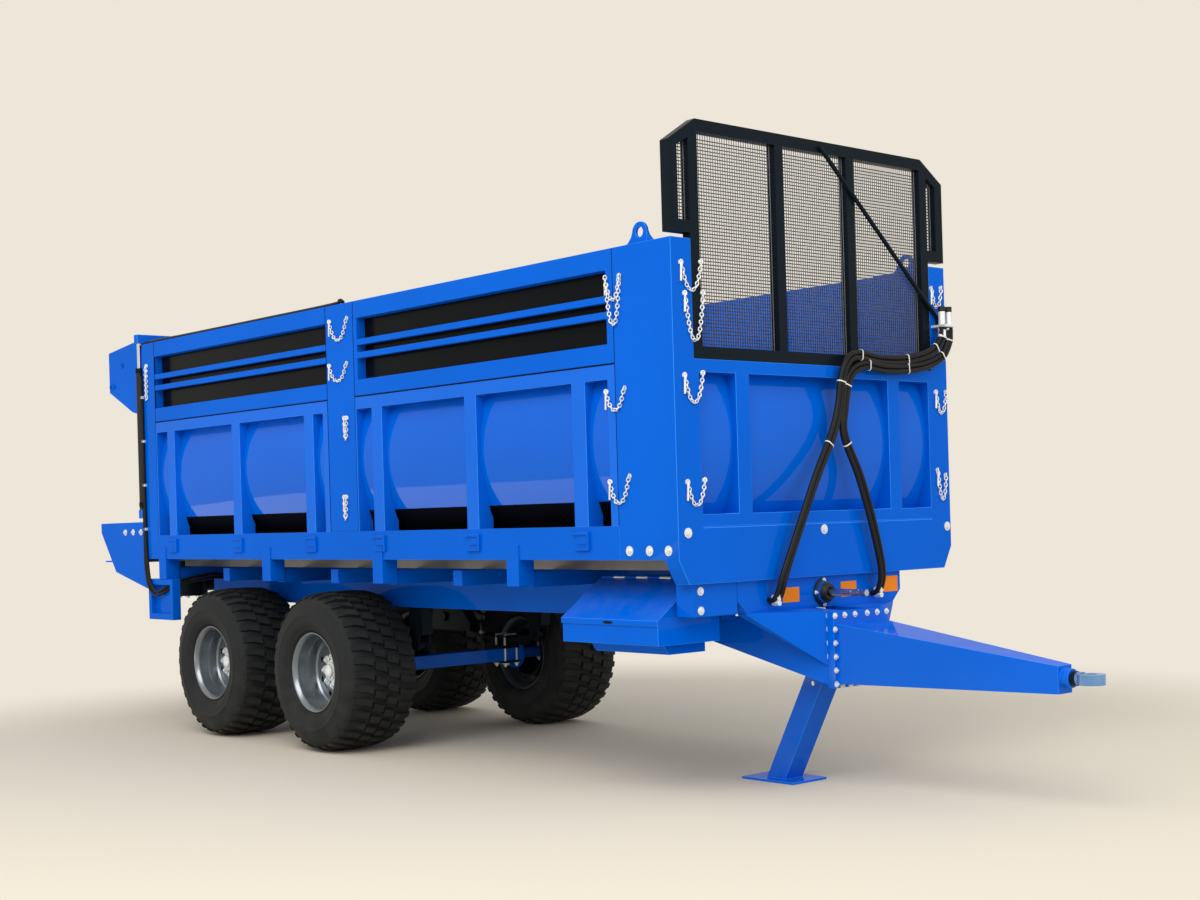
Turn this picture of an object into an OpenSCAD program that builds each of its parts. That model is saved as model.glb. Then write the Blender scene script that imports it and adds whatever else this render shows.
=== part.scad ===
// Two-axle spreader trailer with a steel load box, a floor conveyor and two
// upright beaters behind a lifting rear gate.
// X runs forward to the drawbar, Y to the left and Z up from the ground.
// Distances named s run rearwards from the outer face of the front wall.

/* [Load box] */
// Outer width of the load box
box_w = 2000; // [1900:10:2100]
// Length from the front wall's face to the rear posts' rear face
box_l = 5250; // [5100:10:5400]
// Height of the top edge above the ground
box_top_z = 2615; // [2560:5:2700]
// Height of the sills' lower edge above the ground
sill_z = 1145; // [1130:5:1160]
// Height of a sill
sill_h = 160; // [140:5:180]
// Height of the seam between lower wall and slatted extension
seam_z = 2070; // [2040:5:2090]
// Depth of the folded wall frames
frame_d = 95; // [90:1:110]
// Thickness of wall and floor sheet
sheet_t = 6; // [4:0.5:8]
// Length of a front corner pillar along the side
pillar_l = 400; // [380:5:440]
// Length of a middle post along the side
mid_post_l = 290; // [260:5:320]
// Length of a rear post along the side
rear_post_l = 177; // [160:1:200]
// Width of the ribs between the wall windows
rib_w = 100; // [80:5:120]
// Spacing of the ribs
rib_pitch = 868; // [840:2:880]
// Height of the rail above the wall windows
top_rail_h = 70; // [60:5:80]
// Height of the slots left open under the belly panels
slot_h = 120; // [100:5:130]
// Radius of the bulged belly panels
belly_r = 900; // [850:10:1000]
// Height of the belly panels' fullest line
belly_z = 1715; // [1700:5:1730]
// Depth of that line behind the wall's outer face
belly_in = 22; // [18:1:30]
// Depth of the slatted extension frames
ext_d = 60; // [50:1:70]
// Height of the extension's lower rail
ext_low_h = 96; // [80:2:110]
// Height of the extension's top rail
ext_top_h = 100; // [80:2:120]
// Height of a slat
slat_h = 34; // [28:1:40]
// Distance between the two slats' middles
slat_pitch = 75; // [65:1:90]
// Gap of the seam between wall and extension
seam_gap = 4; // [2:1:6]

/* [Front wall] */
// Height of the front wall's lower edge above the ground
apron_z = 1030; // [1010:5:1050]
// Width cut off each lower corner of the front wall
apron_cut = 63; // [50:1:80]
// Height of the front wall under the wire screen
screen_z = 2065; // [2040:5:2090]
// Half width of the middle window
front_mid_half = 510; // [480:5:540]
// Half width at the outer windows' outer edges
front_out_half = 840; // [820:5:850]
// Height of the windows' lower edges
front_win_z = 1350; // [1340:5:1370]
// Width of the posts beside the screen
screen_side = 130; // [120:5:150]
// Width of the two posts between the windows
front_post_w = 90; // [80:5:110]
// Height of the rail between the windows and the wire screen
front_rail_h = 60; // [50:5:70]

/* [Wire screen] */
// Height of the screen's top above the ground
screen_top_z = 3170; // [3100:10:3250]
// Width of a screen tube
tube_w = 58; // [50:1:65]
// Depth of a screen tube
tube_d = 50; // [40:1:60]
// Height cut off the top corners
wing_cut_h = 114; // [100:2:130]
// Width cut off the top corners
wing_cut_w = 175; // [150:5:200]
// Distance of the inner uprights from the middle
upright_y = 260; // [240:5:280]
// Width of a mesh bar
mesh_bar = 8; // [6:1:12]
// Spacing of the mesh bars
mesh_pitch = 110; // [100:5:140]

/* [Chassis] */
// Height of the chassis beams' top
chassis_z = 1000; // [990:5:1010]
// Height of a chassis beam
beam_h = 160; // [150:5:170]
// Width of a chassis beam
beam_w = 90; // [80:2:100]
// Room from a beam's middle out to the tyres' inner faces
tyre_room = 80; // [75:1:90]
// Height of a cross bearer
bearer_h = 85; // [75:1:90]
// Length of a cross bearer along the trailer
bearer_l = 80; // [60:5:100]
// Width of a stake post along the side
stake_w = 100; // [80:5:120]
// Thickness of the stake posts' outer plates
stake_t = 8; // [6:1:12]

/* [Running gear] */
// Radius of a tyre to its lug tips
tyre_r = 475; // [465:1:480]
// Width of a tyre
tyre_w = 500; // [480:5:510]
// Distance between the middles of the tyres on an axle
track = 1570; // [1560:5:1600]
// Distance of the axles' middle ahead of the rear posts' rear face
bogie_rear = 1477; // [1460:1:1500]
// Distance between the two axles
axle_spread = 1236; // [1200:2:1260]
// Radius of the rim flanges
rim_r = 237; // [230:1:245]
// Radius of an axle spindle
spindle_r = 35; // [30:1:40]
// Width of a square axle beam
axle_w = 80; // [70:1:90]
// Radial clearance of turning bearings
bearing_gap = 0.05; // [0.03:0.01:0.08]

/* [Drawbar] */
// Reach of the towing eye ahead of the front wall
draw_reach = 1530; // [1480:5:1600]
// Height of the towing eye above the ground
eye_z = 600; // [590:1:610]
// Radius of the towing eye's bore
eye_bore_r = 25; // [20:0.5:30]
// Outer radius of the towing eye
eye_r = 60; // [55:1:65]
// Thickness of the towing eye
eye_t = 46; // [40:1:50]
// Radius of the towing eye's shank
shank_r = 22; // [18:1:25]
// Distance of the bolted flange ahead of the front wall
flange_reach = 190; // [180:1:210]
// Width of the bolted flange
flange_w = 400; // [380:5:420]
// Thickness of each flange plate
flange_t = 20; // [15:1:25]

/* [Stand leg] */
// Distance of the leg's pivot behind the front wall
leg_pivot_s = 5; // [0:1:10]
// Height of the leg's pivot above the ground
leg_pivot_z = 600; // [590:1:610]
// Lean of the leg from upright, foot rearwards
leg_lean = 28; // [26:1:30]
// Width of the leg across the trailer
leg_w = 130; // [110:5:140]
// Depth of the leg along the trailer
leg_d = 110; // [100:5:120]
// Radius of the pivot pin
leg_pin_r = 20; // [18:1:22]

/* [Rear unit] */
// Reach of the beater housing behind the rear posts
rear_reach = 780; // [760:5:820]
// Distance of the beaters behind the rear posts
beater_s = 440; // [438:1:445]
// Distance of the beaters from the trailer's middle
beater_y = 440; // [420:5:460]
// Radius of a beater to its tooth tips
beater_r = 330; // [300:5:335]
// Pitch of a beater's screw
beater_pitch = 520; // [480:10:560]
// Thickness of the rear side plates
plate_t = 12; // [10:1:14]
// Radius of a gate cylinder's barrel
barrel_r = 25; // [23:0.5:27]
// Radius of a gate cylinder's rod
rod_r = 14; // [12:0.5:16]

/* [Floor and drive] */
// Half width of the floor between the skirts
floor_half = 700; // [680:5:720]
// Height of a conveyor slat
slat_bar_h = 30; // [24:1:32]
// Spacing of the conveyor slats
slat_bar_pitch = 400; // [340:5:440]
// Height of the drive shaft's middle above the ground
pto_z = 950; // [945:1:955]
// Radius of the drive shaft
shaft_r = 30; // [25:1:32]
// Radius of the power take-off stub
stub_r = 17.5; // [15:0.5:22.5]

/* [Tool box] */
// Length of the tool box
tool_l = 680; // [600:10:720]
// Distance of the tool box behind the front wall
tool_s = 155; // [140:5:200]

/* [Hidden] */

$fn = 48;

paint = "#1560d4";
dark = "#15181c";
steel = "#b9bec4";
zinc = "#c9ccce";

// The frame's origin is on the ground below the middle of the whole length
front_x = (box_l + rear_reach - draw_reach) / 2;
half_w = box_w / 2;
inner_half = half_w - frame_d;
sill_top_z = sill_z + sill_h;
post_shift = 30;
mid_s = (pillar_l + box_l - rear_post_l) / 2 + post_shift;
bay_1_s = pillar_l;
bay_1_end = mid_s - mid_post_l / 2;
bay_2_s = mid_s + mid_post_l / 2;
bay_2_end = box_l - rear_post_l;
bays = [[bay_1_s, bay_1_end], [bay_2_s, bay_2_end]];
belly_y = half_w - belly_in - belly_r;
floor_z = sill_z;
floor_top_z = floor_z + sheet_t;
bearer_z = chassis_z + bearer_h;
beam_front_s = 230;
beam_y = (track - tyre_w) / 2 - tyre_room;
beam_low_z = chassis_z - beam_h;
axle_z = tyre_r;
bogie_s = box_l - bogie_rear;
axle_1_s = bogie_s - axle_spread / 2;
axle_2_s = bogie_s + axle_spread / 2;

function fx(s) = front_x - s;

// A box from s_0 back to s_1, between two Y values and two heights
module block(s_0, s_1, y_0, y_1, z_0, z_1)
    translate([fx(s_1), y_0, z_0]) cube([s_1 - s_0, y_1 - y_0, z_1 - z_0]);

// A box on each side, given by its distances from the middle
module twin_block(s_0, s_1, y_0, y_1, z_0, z_1) {
    block(s_0, s_1, y_0, y_1, z_0, z_1);
    block(s_0, s_1, -y_1, -y_0, z_0, z_1);
}

// Draws what is made for the right side, or its mirror image for the left
module side(left) mirror([0, left ? 1 : 0, 0]) children();

module both_sides() {
    children();
    mirror([0, 1, 0]) children();
}

// An outline of [s, z] points as an upright plate from y_0 to y_1
module side_plate(points, y_0, y_1)
    translate([front_x, y_1, 0]) rotate([90, 0, 0])
        linear_extrude(y_1 - y_0) polygon([for (p = points) [-p[0], p[1]]]);

// An outline of [y, z] points as a plate across the trailer from s_0 to s_1
module cross_plate(points, s_0, s_1)
    translate([fx(s_1), 0, 0]) rotate([90, 0, 90])
        linear_extrude(s_1 - s_0) polygon(points);

// A round bar across the trailer
module cross_rod(s, z, y_0, y_1, r)
    translate([fx(s), y_0, z]) rotate([-90, 0, 0]) cylinder(h = y_1 - y_0, r = r);

// A round bar along the trailer
module long_rod(s_0, s_1, y, z, r)
    translate([fx(s_1), y, z]) rotate([0, 90, 0]) cylinder(h = s_1 - s_0, r = r);

// A round bar between two points
module rod_between(a, b, r) {
    d = b - a;
    length = norm(d);
    translate(a) rotate([0, acos(d[2] / length), atan2(d[1], d[0])])
        cylinder(h = length, r = r);
}

/* Chassis */
stake_first_s = 1210;
stake_third_rear = 1600;
stake_last_rear = 230;
stake_pitch = (box_l - stake_third_rear - stake_first_s) / 2;
stake_list = [for (k = [0 : 2]) stake_first_s + k * stake_pitch, box_l - stake_last_rear];
// every stake's bearer, and one halfway to the next
bearer_list = [for (k = [0 : 3]) stake_list[k],
    for (k = [0 : 2]) (stake_list[k] + stake_list[k + 1]) / 2];
stake_low_z = chassis_z + 10;
stake_over = 75;
stringer_w = 40;
cross_l = 80;
cross_rear = 100;
shaft_room = 15;

module chassis() color(paint) {
    twin_block(beam_front_s, box_l, beam_y - beam_w / 2, beam_y + beam_w / 2,
        chassis_z - beam_h, chassis_z);
    for (s = [beam_front_s + 20, box_l - cross_rear])
        difference() {
            block(s, s + cross_l, -beam_y + beam_w / 2, beam_y - beam_w / 2,
                beam_low_z + 20, chassis_z);
            long_rod(s - 1, s + cross_l + 1, 0, pto_z, shaft_r + shaft_room);
        }
}

module bearers() color(paint) {
    for (s = bearer_list)
        block(s - bearer_l / 2, s + bearer_l / 2, -inner_half, inner_half,
            chassis_z, bearer_z);
    for (s = stake_list)
        both_sides() {
            block(s - stake_w / 2, s + stake_w / 2, inner_half, half_w,
                stake_low_z, sill_z);
            block(s - stake_w / 2, s + stake_w / 2, half_w, half_w + stake_t,
                stake_low_z, sill_z + stake_over);
        }
}

/* Front frame */
band_s = 30;
band_l = 200;
band_z = 876;
band_half = 600;
band_cut = 60;
collar_l = 25;
stub_end_s = band_s - collar_l - 5;
journal_r = stub_r + 5;
flange_low_z = eye_z - 95;
flange_top_z = eye_z + 270;
brace_y = flange_w / 4;
brace_end_s = 720;
cheek_gap = 8;
cheek_t = 12;
cheek_end_s = leg_pivot_s + 60;

module front_frame() color(paint) {
    // box girder under the front wall
    difference() {
        cross_plate([[-band_half, apron_z], [-band_half, band_z + band_cut],
            [-band_half + band_cut, band_z], [band_half - band_cut, band_z],
            [band_half, band_z + band_cut], [band_half, apron_z]],
            band_s, band_s + band_l);
        long_rod(band_s - 1, band_s + band_l + 1, 0, pto_z, shaft_r + shaft_room);
    }
    // bearing collar of the power take-off
    difference() {
        long_rod(band_s - collar_l, band_s, 0, pto_z, shaft_r + collar_l);
        long_rod(band_s - collar_l - 1, band_s + 1, 0, pto_z, journal_r + bearing_gap);
    }
    // flange plate
    block(-flange_reach, -flange_reach + flange_t, -flange_w / 2, flange_w / 2,
        flange_low_z, flange_top_z);
    // converging beams from the flange to the chassis beams
    both_sides() hull() {
        block(-flange_reach + flange_t - 1, -flange_reach + flange_t,
            brace_y, flange_w / 2 - 10, flange_low_z + 12, beam_low_z);
        block(brace_end_s - 1, brace_end_s, beam_y - beam_w / 2, beam_y + beam_w / 2,
            beam_low_z - 10, beam_low_z);
    }
    // shoulders from the girder down to the flange
    both_sides() hull() {
        block(-flange_reach + flange_t - 1, -flange_reach + flange_t,
            leg_w / 2 + 20, flange_w / 2 - 10, flange_low_z + 100, flange_top_z);
        block(band_s, band_s + 60, leg_w / 2 + 20, band_half - band_cut,
            band_z - 10, band_z);
    }
    // cheeks that carry the leg's pivot pin
    both_sides() side_plate([[-flange_reach + flange_t, flange_low_z + 10],
        [cheek_end_s, leg_pivot_z - 50], [cheek_end_s, leg_pivot_z + 60],
        [-flange_reach + flange_t, flange_top_z - 40]],
        leg_w / 2 + cheek_gap, leg_w / 2 + cheek_gap + cheek_t);
    cross_rod(leg_pivot_s, leg_pivot_z, -leg_w / 2 - cheek_gap - cheek_t - 10,
        leg_w / 2 + cheek_gap + cheek_t + 10, leg_pin_r);
    // lug of the stand cylinder, hung from the girder on a strut
    stand_cylinder_mount();
}

/* Stand leg and its cylinder */
// The rod's eye sits on the leg's own middle line, this far below the pivot
stand_crank = 110;
stand_eye_s = leg_pivot_s + stand_crank * sin(leg_lean);
stand_eye_z = leg_pivot_z - stand_crank * cos(leg_lean);
stand_pin_s = 520;
stand_pin_z = 780;
stand_pin_r = 12;
stand_run = norm([stand_pin_s - stand_eye_s, stand_pin_z - stand_eye_z]);
stand_slope = atan2(stand_pin_z - stand_eye_z, stand_pin_s - stand_eye_s);
stand_eye_r = 22;
stand_eye_w = 36;
stand_barrel_l = 300;
stand_barrel_r = 27;
stand_rod_r = 13;
stand_lug_y = 28;
stand_lug_t = 12;
stand_rod_in = 160;

module stand_cylinder_mount() difference() {
    union() {
        for (y = [-stand_lug_y - stand_lug_t, stand_lug_y])
            side_plate([[stand_pin_s - 35, beam_low_z],
                [stand_pin_s - 25, stand_pin_z - 30], [stand_pin_s + 25, stand_pin_z - 30],
                [stand_pin_s + 35, beam_low_z]], y, y + stand_lug_t);
        block(stand_pin_s - 35, stand_pin_s + 35, -beam_y + beam_w / 2,
            beam_y - beam_w / 2, beam_low_z, beam_low_z + 40);
    }
    cross_rod(stand_pin_s, stand_pin_z, -stand_lug_y - 20, stand_lug_y + 20,
        stand_pin_r + bearing_gap);
}

// Axes of the leg: its pivot at the origin, the leg running down
module leg_frame()
    translate([fx(leg_pivot_s), 0, leg_pivot_z]) rotate([0, leg_lean, 0]) children();

leg_len = leg_pivot_z / cos(leg_lean);
leg_wall = 8;
foot_l = 350;
foot_w = 250;
foot_t = 12;
foot_s = leg_pivot_s + leg_pivot_z * tan(leg_lean);

module stand_leg() color(paint) {
    difference() {
        union() {
            intersection() {
                leg_frame() translate([-leg_d / 2, -leg_w / 2, -leg_len - 40])
                    cube([leg_d, leg_w, leg_len + 40]);
                block(-500, 1500, -leg_w, leg_w, foot_t, 2 * leg_pivot_z);
            }
            leg_frame() rotate([90, 0, 0])
                cylinder(h = leg_w, r = leg_d / 2, center = true);
        }
        // the channel is open to the rear, where the cylinder enters
        leg_frame() translate([-leg_d / 2 - 10, -leg_w / 2 + leg_wall, -leg_len + 60])
            cube([leg_d + 10 - leg_wall, leg_w - 2 * leg_wall, leg_len - 115]);
        cross_rod(leg_pivot_s, leg_pivot_z, -leg_w, leg_w, leg_pin_r + bearing_gap);
        cross_rod(stand_eye_s, stand_eye_z, -leg_w, leg_w, stand_pin_r);
    }
    block(foot_s - foot_l / 2, foot_s + foot_l / 2, -foot_w / 2, foot_w / 2, 0, foot_t);
}

// Axes of the cylinder: its fixed pin at the origin, the rod running along -Z
module cylinder_frame()
    translate([fx(stand_pin_s), 0, stand_pin_z]) rotate([0, -90 + stand_slope, 0])
        children();

module stand_barrel() color(dark) cylinder_frame() {
    difference() {
        union() {
            translate([0, 0, -stand_barrel_l]) cylinder(h = stand_barrel_l - 15,
                r = stand_barrel_r);
            rotate([90, 0, 0]) cylinder(h = 2 * stand_lug_y - 12, r = 26, center = true);
        }
        translate([0, 0, -stand_barrel_l - 1]) cylinder(h = stand_barrel_l - 40,
            r = stand_rod_r + bearing_gap);
    }
    rotate([90, 0, 0])
        cylinder(h = 2 * (stand_lug_y + stand_lug_t), r = stand_pin_r, center = true);
}

module stand_rod() color(steel) cylinder_frame() difference() {
    union() {
        translate([0, 0, -stand_run]) cylinder(h = stand_run - stand_rod_in, r = stand_rod_r);
        translate([0, 0, -stand_run]) rotate([90, 0, 0])
            cylinder(h = stand_eye_w, r = stand_eye_r, center = true);
    }
    translate([0, 0, -stand_run]) rotate([90, 0, 0])
        cylinder(h = stand_eye_w + 4, r = stand_pin_r, center = true);
}

/* Drawbar */
eye_len = 190;
draw_tip_s = -draw_reach + eye_len;
draw_root_half = 180;
draw_tip_half = 52;

module drawbar() color(paint) {
    block(-flange_reach - flange_t, -flange_reach, -flange_w / 2, flange_w / 2,
        flange_low_z, flange_top_z);
    hull() {
        block(-flange_reach - flange_t - 1, -flange_reach - flange_t,
            -draw_root_half, draw_root_half, flange_low_z + 20, flange_top_z - 60);
        block(draw_tip_s, draw_tip_s + 1, -draw_tip_half, draw_tip_half,
            eye_z - 68, eye_z + 55);
    }
    difference() {
        long_rod(draw_tip_s - 40, draw_tip_s + 1, 0, eye_z, 42);
        long_rod(draw_tip_s - 41, draw_tip_s, 0, eye_z, shank_r + bearing_gap);
    }
}

module towing_eye() color(steel) {
    eye_s = -draw_reach + eye_r;
    difference() {
        union() {
            translate([fx(eye_s), 0, eye_z - eye_t / 2]) cylinder(h = eye_t, r = eye_r);
            long_rod(eye_s + eye_r - 20, draw_tip_s - 45, 0, eye_z, shank_r + 8);
            long_rod(draw_tip_s - 46, draw_tip_s - 0.5, 0, eye_z, shank_r);
        }
        translate([fx(eye_s), 0, eye_z - eye_t]) cylinder(h = 2 * eye_t, r = eye_bore_r);
    }
}

/* Load box walls */
module sills() color(paint) {
    twin_block(pillar_l, box_l - rear_post_l, inner_half, half_w, sill_z, sill_top_z);
    // small fork lugs under the ribs
    for (s = rib_list)
        twin_block(s - 35, s + 35, half_w, half_w + 7, sill_top_z - 80, sill_top_z - 25);
}

rib_list = [for (k = [0 : 2]) for (d = [-1, 1])
    mid_s + d * (mid_post_l / 2 + 215 + k * rib_pitch)];

module front_pillars() color(paint) {
    twin_block(frame_d, pillar_l, inner_half, half_w, sill_z, box_top_z);
    // lifting eyes on top
    for (y = [-half_w + 20, half_w - 34])
        difference() {
            union() {
                block(175, 275, y, y + 14, box_top_z, box_top_z + 50);
                cross_rod(225, box_top_z + 50, y, y + 14, 50);
            }
            cross_rod(225, box_top_z + 52, y - 1, y + 15, 24);
        }
}

module wall_posts() color(paint) {
    twin_block(bay_1_end, bay_2_s, inner_half, half_w, sill_top_z, box_top_z);
    twin_block(bay_2_end, box_l, inner_half, half_w, sill_z, box_top_z);
}

// A long cylinder whose surface is a belly panel's, on the right side
module belly_body(s_0, s_1, r) long_rod(s_0, s_1, -belly_y, belly_z, r, $fn = 240);

module lower_frames() color(paint) both_sides() difference() {
    union() {
        block(bay_1_s, bay_1_end, -half_w, -inner_half, sill_top_z, seam_z);
        block(bay_2_s, bay_2_end, -half_w, -inner_half, sill_top_z, seam_z);
    }
    for (bay = bays)
        difference() {
            block(bay[0] + 55, bay[1] - 8, -half_w - 1, -inner_half + 1,
                sill_top_z, seam_z - top_rail_h);
            for (s = rib_list)
                block(s - rib_w / 2, s + rib_w / 2, -half_w - 2, -inner_half + 2,
                    sill_top_z - 1, seam_z);
        }
    belly_body(bay_1_s - 1, bay_2_end + 1, belly_r);
}

module belly_panels() color(paint) {
    for (bay = bays)
        both_sides() intersection() {
            difference() {
                belly_body(bay[0], bay[1], belly_r);
                belly_body(bay[0] - 1, bay[1] + 1, belly_r - sheet_t);
            }
            block(bay[0], bay[1], -half_w, -half_w + 200, sill_top_z + slot_h, seam_z);
        }
    intersection() {
        difference() {
            front_belly_body(belly_r);
            front_belly_body(belly_r - sheet_t);
        }
        block(0, frame_d + 100, -inner_half, inner_half, sill_top_z, screen_z - 20);
    }
}

skirt_y = belly_y + sqrt(belly_r * belly_r - pow(belly_z - sill_top_z - slot_h, 2));

skirt_start_s = frame_d + 30;

// Sloping sheets from the belly panels down to the floor, notched at the posts
module floor_skirts() color(dark) both_sides() difference() {
    cross_plate([[-skirt_y, sill_top_z + slot_h], [-skirt_y + sheet_t, sill_top_z + slot_h],
        [-floor_half, floor_top_z], [-floor_half - sheet_t * 1.4, floor_top_z]],
        skirt_start_s, box_l);
    for (post = [[0, bay_1_s], [bay_1_end, bay_2_s], [bay_2_end, box_l + 1]])
        block(post[0], post[1], -half_w, -inner_half, sill_z, box_top_z);
}

slat_mid_z = (seam_z + ext_low_h + box_top_z - ext_top_h) / 2;

module extensions() color(paint) both_sides() {
    difference() {
        union() {
            block(bay_1_s, bay_1_end, -half_w, -half_w + ext_d,
                seam_z + seam_gap, box_top_z);
            block(bay_2_s, bay_2_end, -half_w, -half_w + ext_d,
                seam_z + seam_gap, box_top_z);
        }
        for (bay = [[bay_1_s + 50, bay_1_end - 35], [bay_2_s, bay_2_end]])
            block(bay[0], bay[1], -half_w - 1, -half_w + ext_d + 1,
                seam_z + ext_low_h, box_top_z - ext_top_h);
    }
    for (bay = [[bay_1_s + 49, bay_1_end - 34], [bay_2_s, bay_2_end]])
        for (d = [-1, 1])
            block(bay[0], bay[1], -half_w, -half_w + 30,
                slat_mid_z + d * slat_pitch / 2 - slat_h / 2,
                slat_mid_z + d * slat_pitch / 2 + slat_h / 2);
}

module liner_panels() color(dark) {
    twin_block(bay_1_s, bay_1_end, half_w - ext_d - sheet_t, half_w - ext_d,
        seam_z, box_top_z - 20);
    twin_block(bay_2_s, bay_2_end, half_w - ext_d - sheet_t, half_w - ext_d,
        seam_z, box_top_z - 20);
}

/* Front wall */
// A long cylinder across the trailer whose surface is the front belly's
module front_belly_body(r)
    cross_rod(belly_in + belly_r, belly_z - 15, -half_w, half_w, r, $fn = 240);

front_rail_z = screen_z - front_rail_h;

// What the belly of the front sheet takes from the members around it
module front_belly_room() intersection() {
    front_belly_body(belly_r);
    block(-1, frame_d + 1, -inner_half, inner_half, sill_top_z, screen_z - 20);
}

// Corner columns and the rail under the screen
module front_wall() color(paint) difference() {
    cross_plate([[-half_w, box_top_z], [-half_w, front_win_z], [-front_out_half, front_win_z],
        [-front_out_half, front_rail_z], [front_out_half, front_rail_z],
        [front_out_half, front_win_z], [half_w, front_win_z], [half_w, box_top_z],
        [half_w - screen_side, box_top_z], [half_w - screen_side, screen_z],
        [-half_w + screen_side, screen_z], [-half_w + screen_side, box_top_z]],
        0, frame_d);
    front_belly_room();
}

// Folded apron below the windows, with its weld groove
module front_apron() color(paint) difference() {
    cross_plate([[-half_w, front_win_z], [-half_w, sill_z], [-half_w + apron_cut, apron_z],
        [half_w - apron_cut, apron_z], [half_w, sill_z], [half_w, front_win_z]], 0, frame_d);
    front_belly_room();
    block(-1, 4, -front_out_half, front_out_half, front_win_z - 62, front_win_z - 56);
}

module front_posts() color(paint) both_sides() difference() {
    block(0, frame_d, front_mid_half, front_mid_half + front_post_w, front_win_z, front_rail_z);
    front_belly_room();
}

/* Wire screen */
wing_low_z = box_top_z + 25;
screen_half = half_w - screen_side;
brace_r = 11;
brace_in = 60;
brace_low = 290;

// A flat bar of the screen between two [y, z] points
module screen_bar(a, b, w = tube_w) {
    d = b - a;
    n = [-d[1], d[0]] / norm(d) * w / 2;
    cross_plate([a + n, b + n, b - n, a - n], 0, tube_d);
}

module screen_frame() color(dark) {
    in = tube_w / 2;
    low = screen_z + in;
    top = screen_top_z - in;
    wing = half_w - in;
    // bottom rail, top rail and inner uprights
    screen_bar([-screen_half, low], [screen_half, low]);
    screen_bar([-half_w + wing_cut_w, top], [half_w - wing_cut_w, top]);
    for (y = [-upright_y, upright_y])
        screen_bar([y, screen_z], [y, top]);
    both_sides() {
        screen_bar([screen_half - in, screen_z], [screen_half - in, top]);
        screen_bar([wing, wing_low_z], [wing, screen_top_z - wing_cut_h]);
        screen_bar([screen_half - in, wing_low_z + in], [half_w, wing_low_z + in]);
        cross_plate([[half_w - wing_cut_w, screen_top_z], [half_w, screen_top_z - wing_cut_h],
            [half_w - tube_w, screen_top_z - wing_cut_h - 20],
            [half_w - wing_cut_w - 10, screen_top_z - tube_w]], 0, tube_d);
    }
    // brace across the front, down to the left pillar
    rod_between([fx(2 - brace_r), 27, screen_top_z - tube_w / 2],
        [fx(-1 - brace_r), half_w - brace_in, box_top_z - brace_low], brace_r);
    block(-brace_r - 3, 0, half_w - brace_in - 20, half_w - brace_in + 20,
        box_top_z - brace_low - 20, box_top_z - brace_low + 20);
}

module screen_mesh() color("#3c4048") {
    s = tube_d / 2;
    z_n = floor((screen_top_z - screen_z - 2 * tube_w) / mesh_pitch);
    for (k = [1 : z_n]) {
        z = screen_z + tube_w + k * mesh_pitch - mesh_bar / 2;
        reach = z > wing_low_z + tube_w ? half_w - tube_w - 1 : screen_half - tube_w;
        limit = z > screen_top_z - wing_cut_h ? half_w - wing_cut_w - 40 : reach;
        block(s - 3, s + 3, -limit, limit, z, z + mesh_bar);
    }
    for (y = [-screen_half + tube_w + 45 : mesh_pitch : screen_half - tube_w])
        block(s - 2, s + 2, y, y + mesh_bar, screen_z + tube_w, screen_top_z - tube_w);
}

/* Floor and conveyor */
run_t = 22;
conveyor_s = 160;
conveyor_end_s = box_l + 84;
loop_mid_z = floor_z - 8;
loop_r = floor_top_z + run_t - loop_mid_z;

turn_room = 60;

module floor() color(steel) {
    block(conveyor_s + turn_room, box_l, -inner_half, inner_half, floor_z, floor_top_z);
    twin_block(frame_d, conveyor_s + turn_room, floor_half, inner_half, floor_z, floor_top_z);
    // stringers that carry it on the bearers, between the conveyor's returning slats
    for (y = [-floor_half, 0, floor_half])
        block(conveyor_s + turn_room, box_l, y - stringer_w / 2, y + stringer_w / 2,
            bearer_z, floor_z);
}

module conveyor() color(dark) {
    half_conveyor(-floor_half + 25, -25);
    half_conveyor(25, floor_half - 25);
}

// One side's pair of chains with the slats between them
module half_conveyor(y_0, y_1) {
    chain_w = 24;
    for (y = [y_0 + 30, y_1 - 30 - chain_w])
        difference() {
            loop_solid(y, y + chain_w, loop_r);
            loop_solid(y - 1, y + chain_w + 1, loop_r - run_t);
        }
    for (s = [conveyor_s : slat_bar_pitch : conveyor_end_s]) {
        block(s - 20, s + 20, y_0, y_1, loop_mid_z + loop_r,
            loop_mid_z + loop_r + slat_bar_h - run_t);
        block(s - 20, s + 20, y_0, y_1, loop_mid_z - loop_r - slat_bar_h + run_t,
            loop_mid_z - loop_r);
    }
}

module loop_solid(y_0, y_1, r) {
    cross_rod(conveyor_s, loop_mid_z, y_0, y_1, r, $fn = 12);
    cross_rod(conveyor_end_s, loop_mid_z, y_0, y_1, r, $fn = 12);
    block(conveyor_s, conveyor_end_s, y_0, y_1, loop_mid_z - r, loop_mid_z + r);
}

// The shaft that carries the drive from the stub to the beaters
gearbox_half = 120;
drive_gap = 1;
stub_s = -250;
drive_end_s = box_l + beater_s - gearbox_half - drive_gap;

module drive_shaft() color(steel) {
    long_rod(band_s + 3, drive_end_s, 0, pto_z, shaft_r);
    long_rod(stub_s, stub_end_s + 1, 0, pto_z, stub_r);
    long_rod(stub_end_s, band_s + 4, 0, pto_z, journal_r);
}

/* Running gear */
spring_end = 330;
spring_z = axle_z + axle_w / 2;
rocker_top_half = 130;
rocker_half = 290;
rocker_low = 100;
rocker_t = 50;

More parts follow.
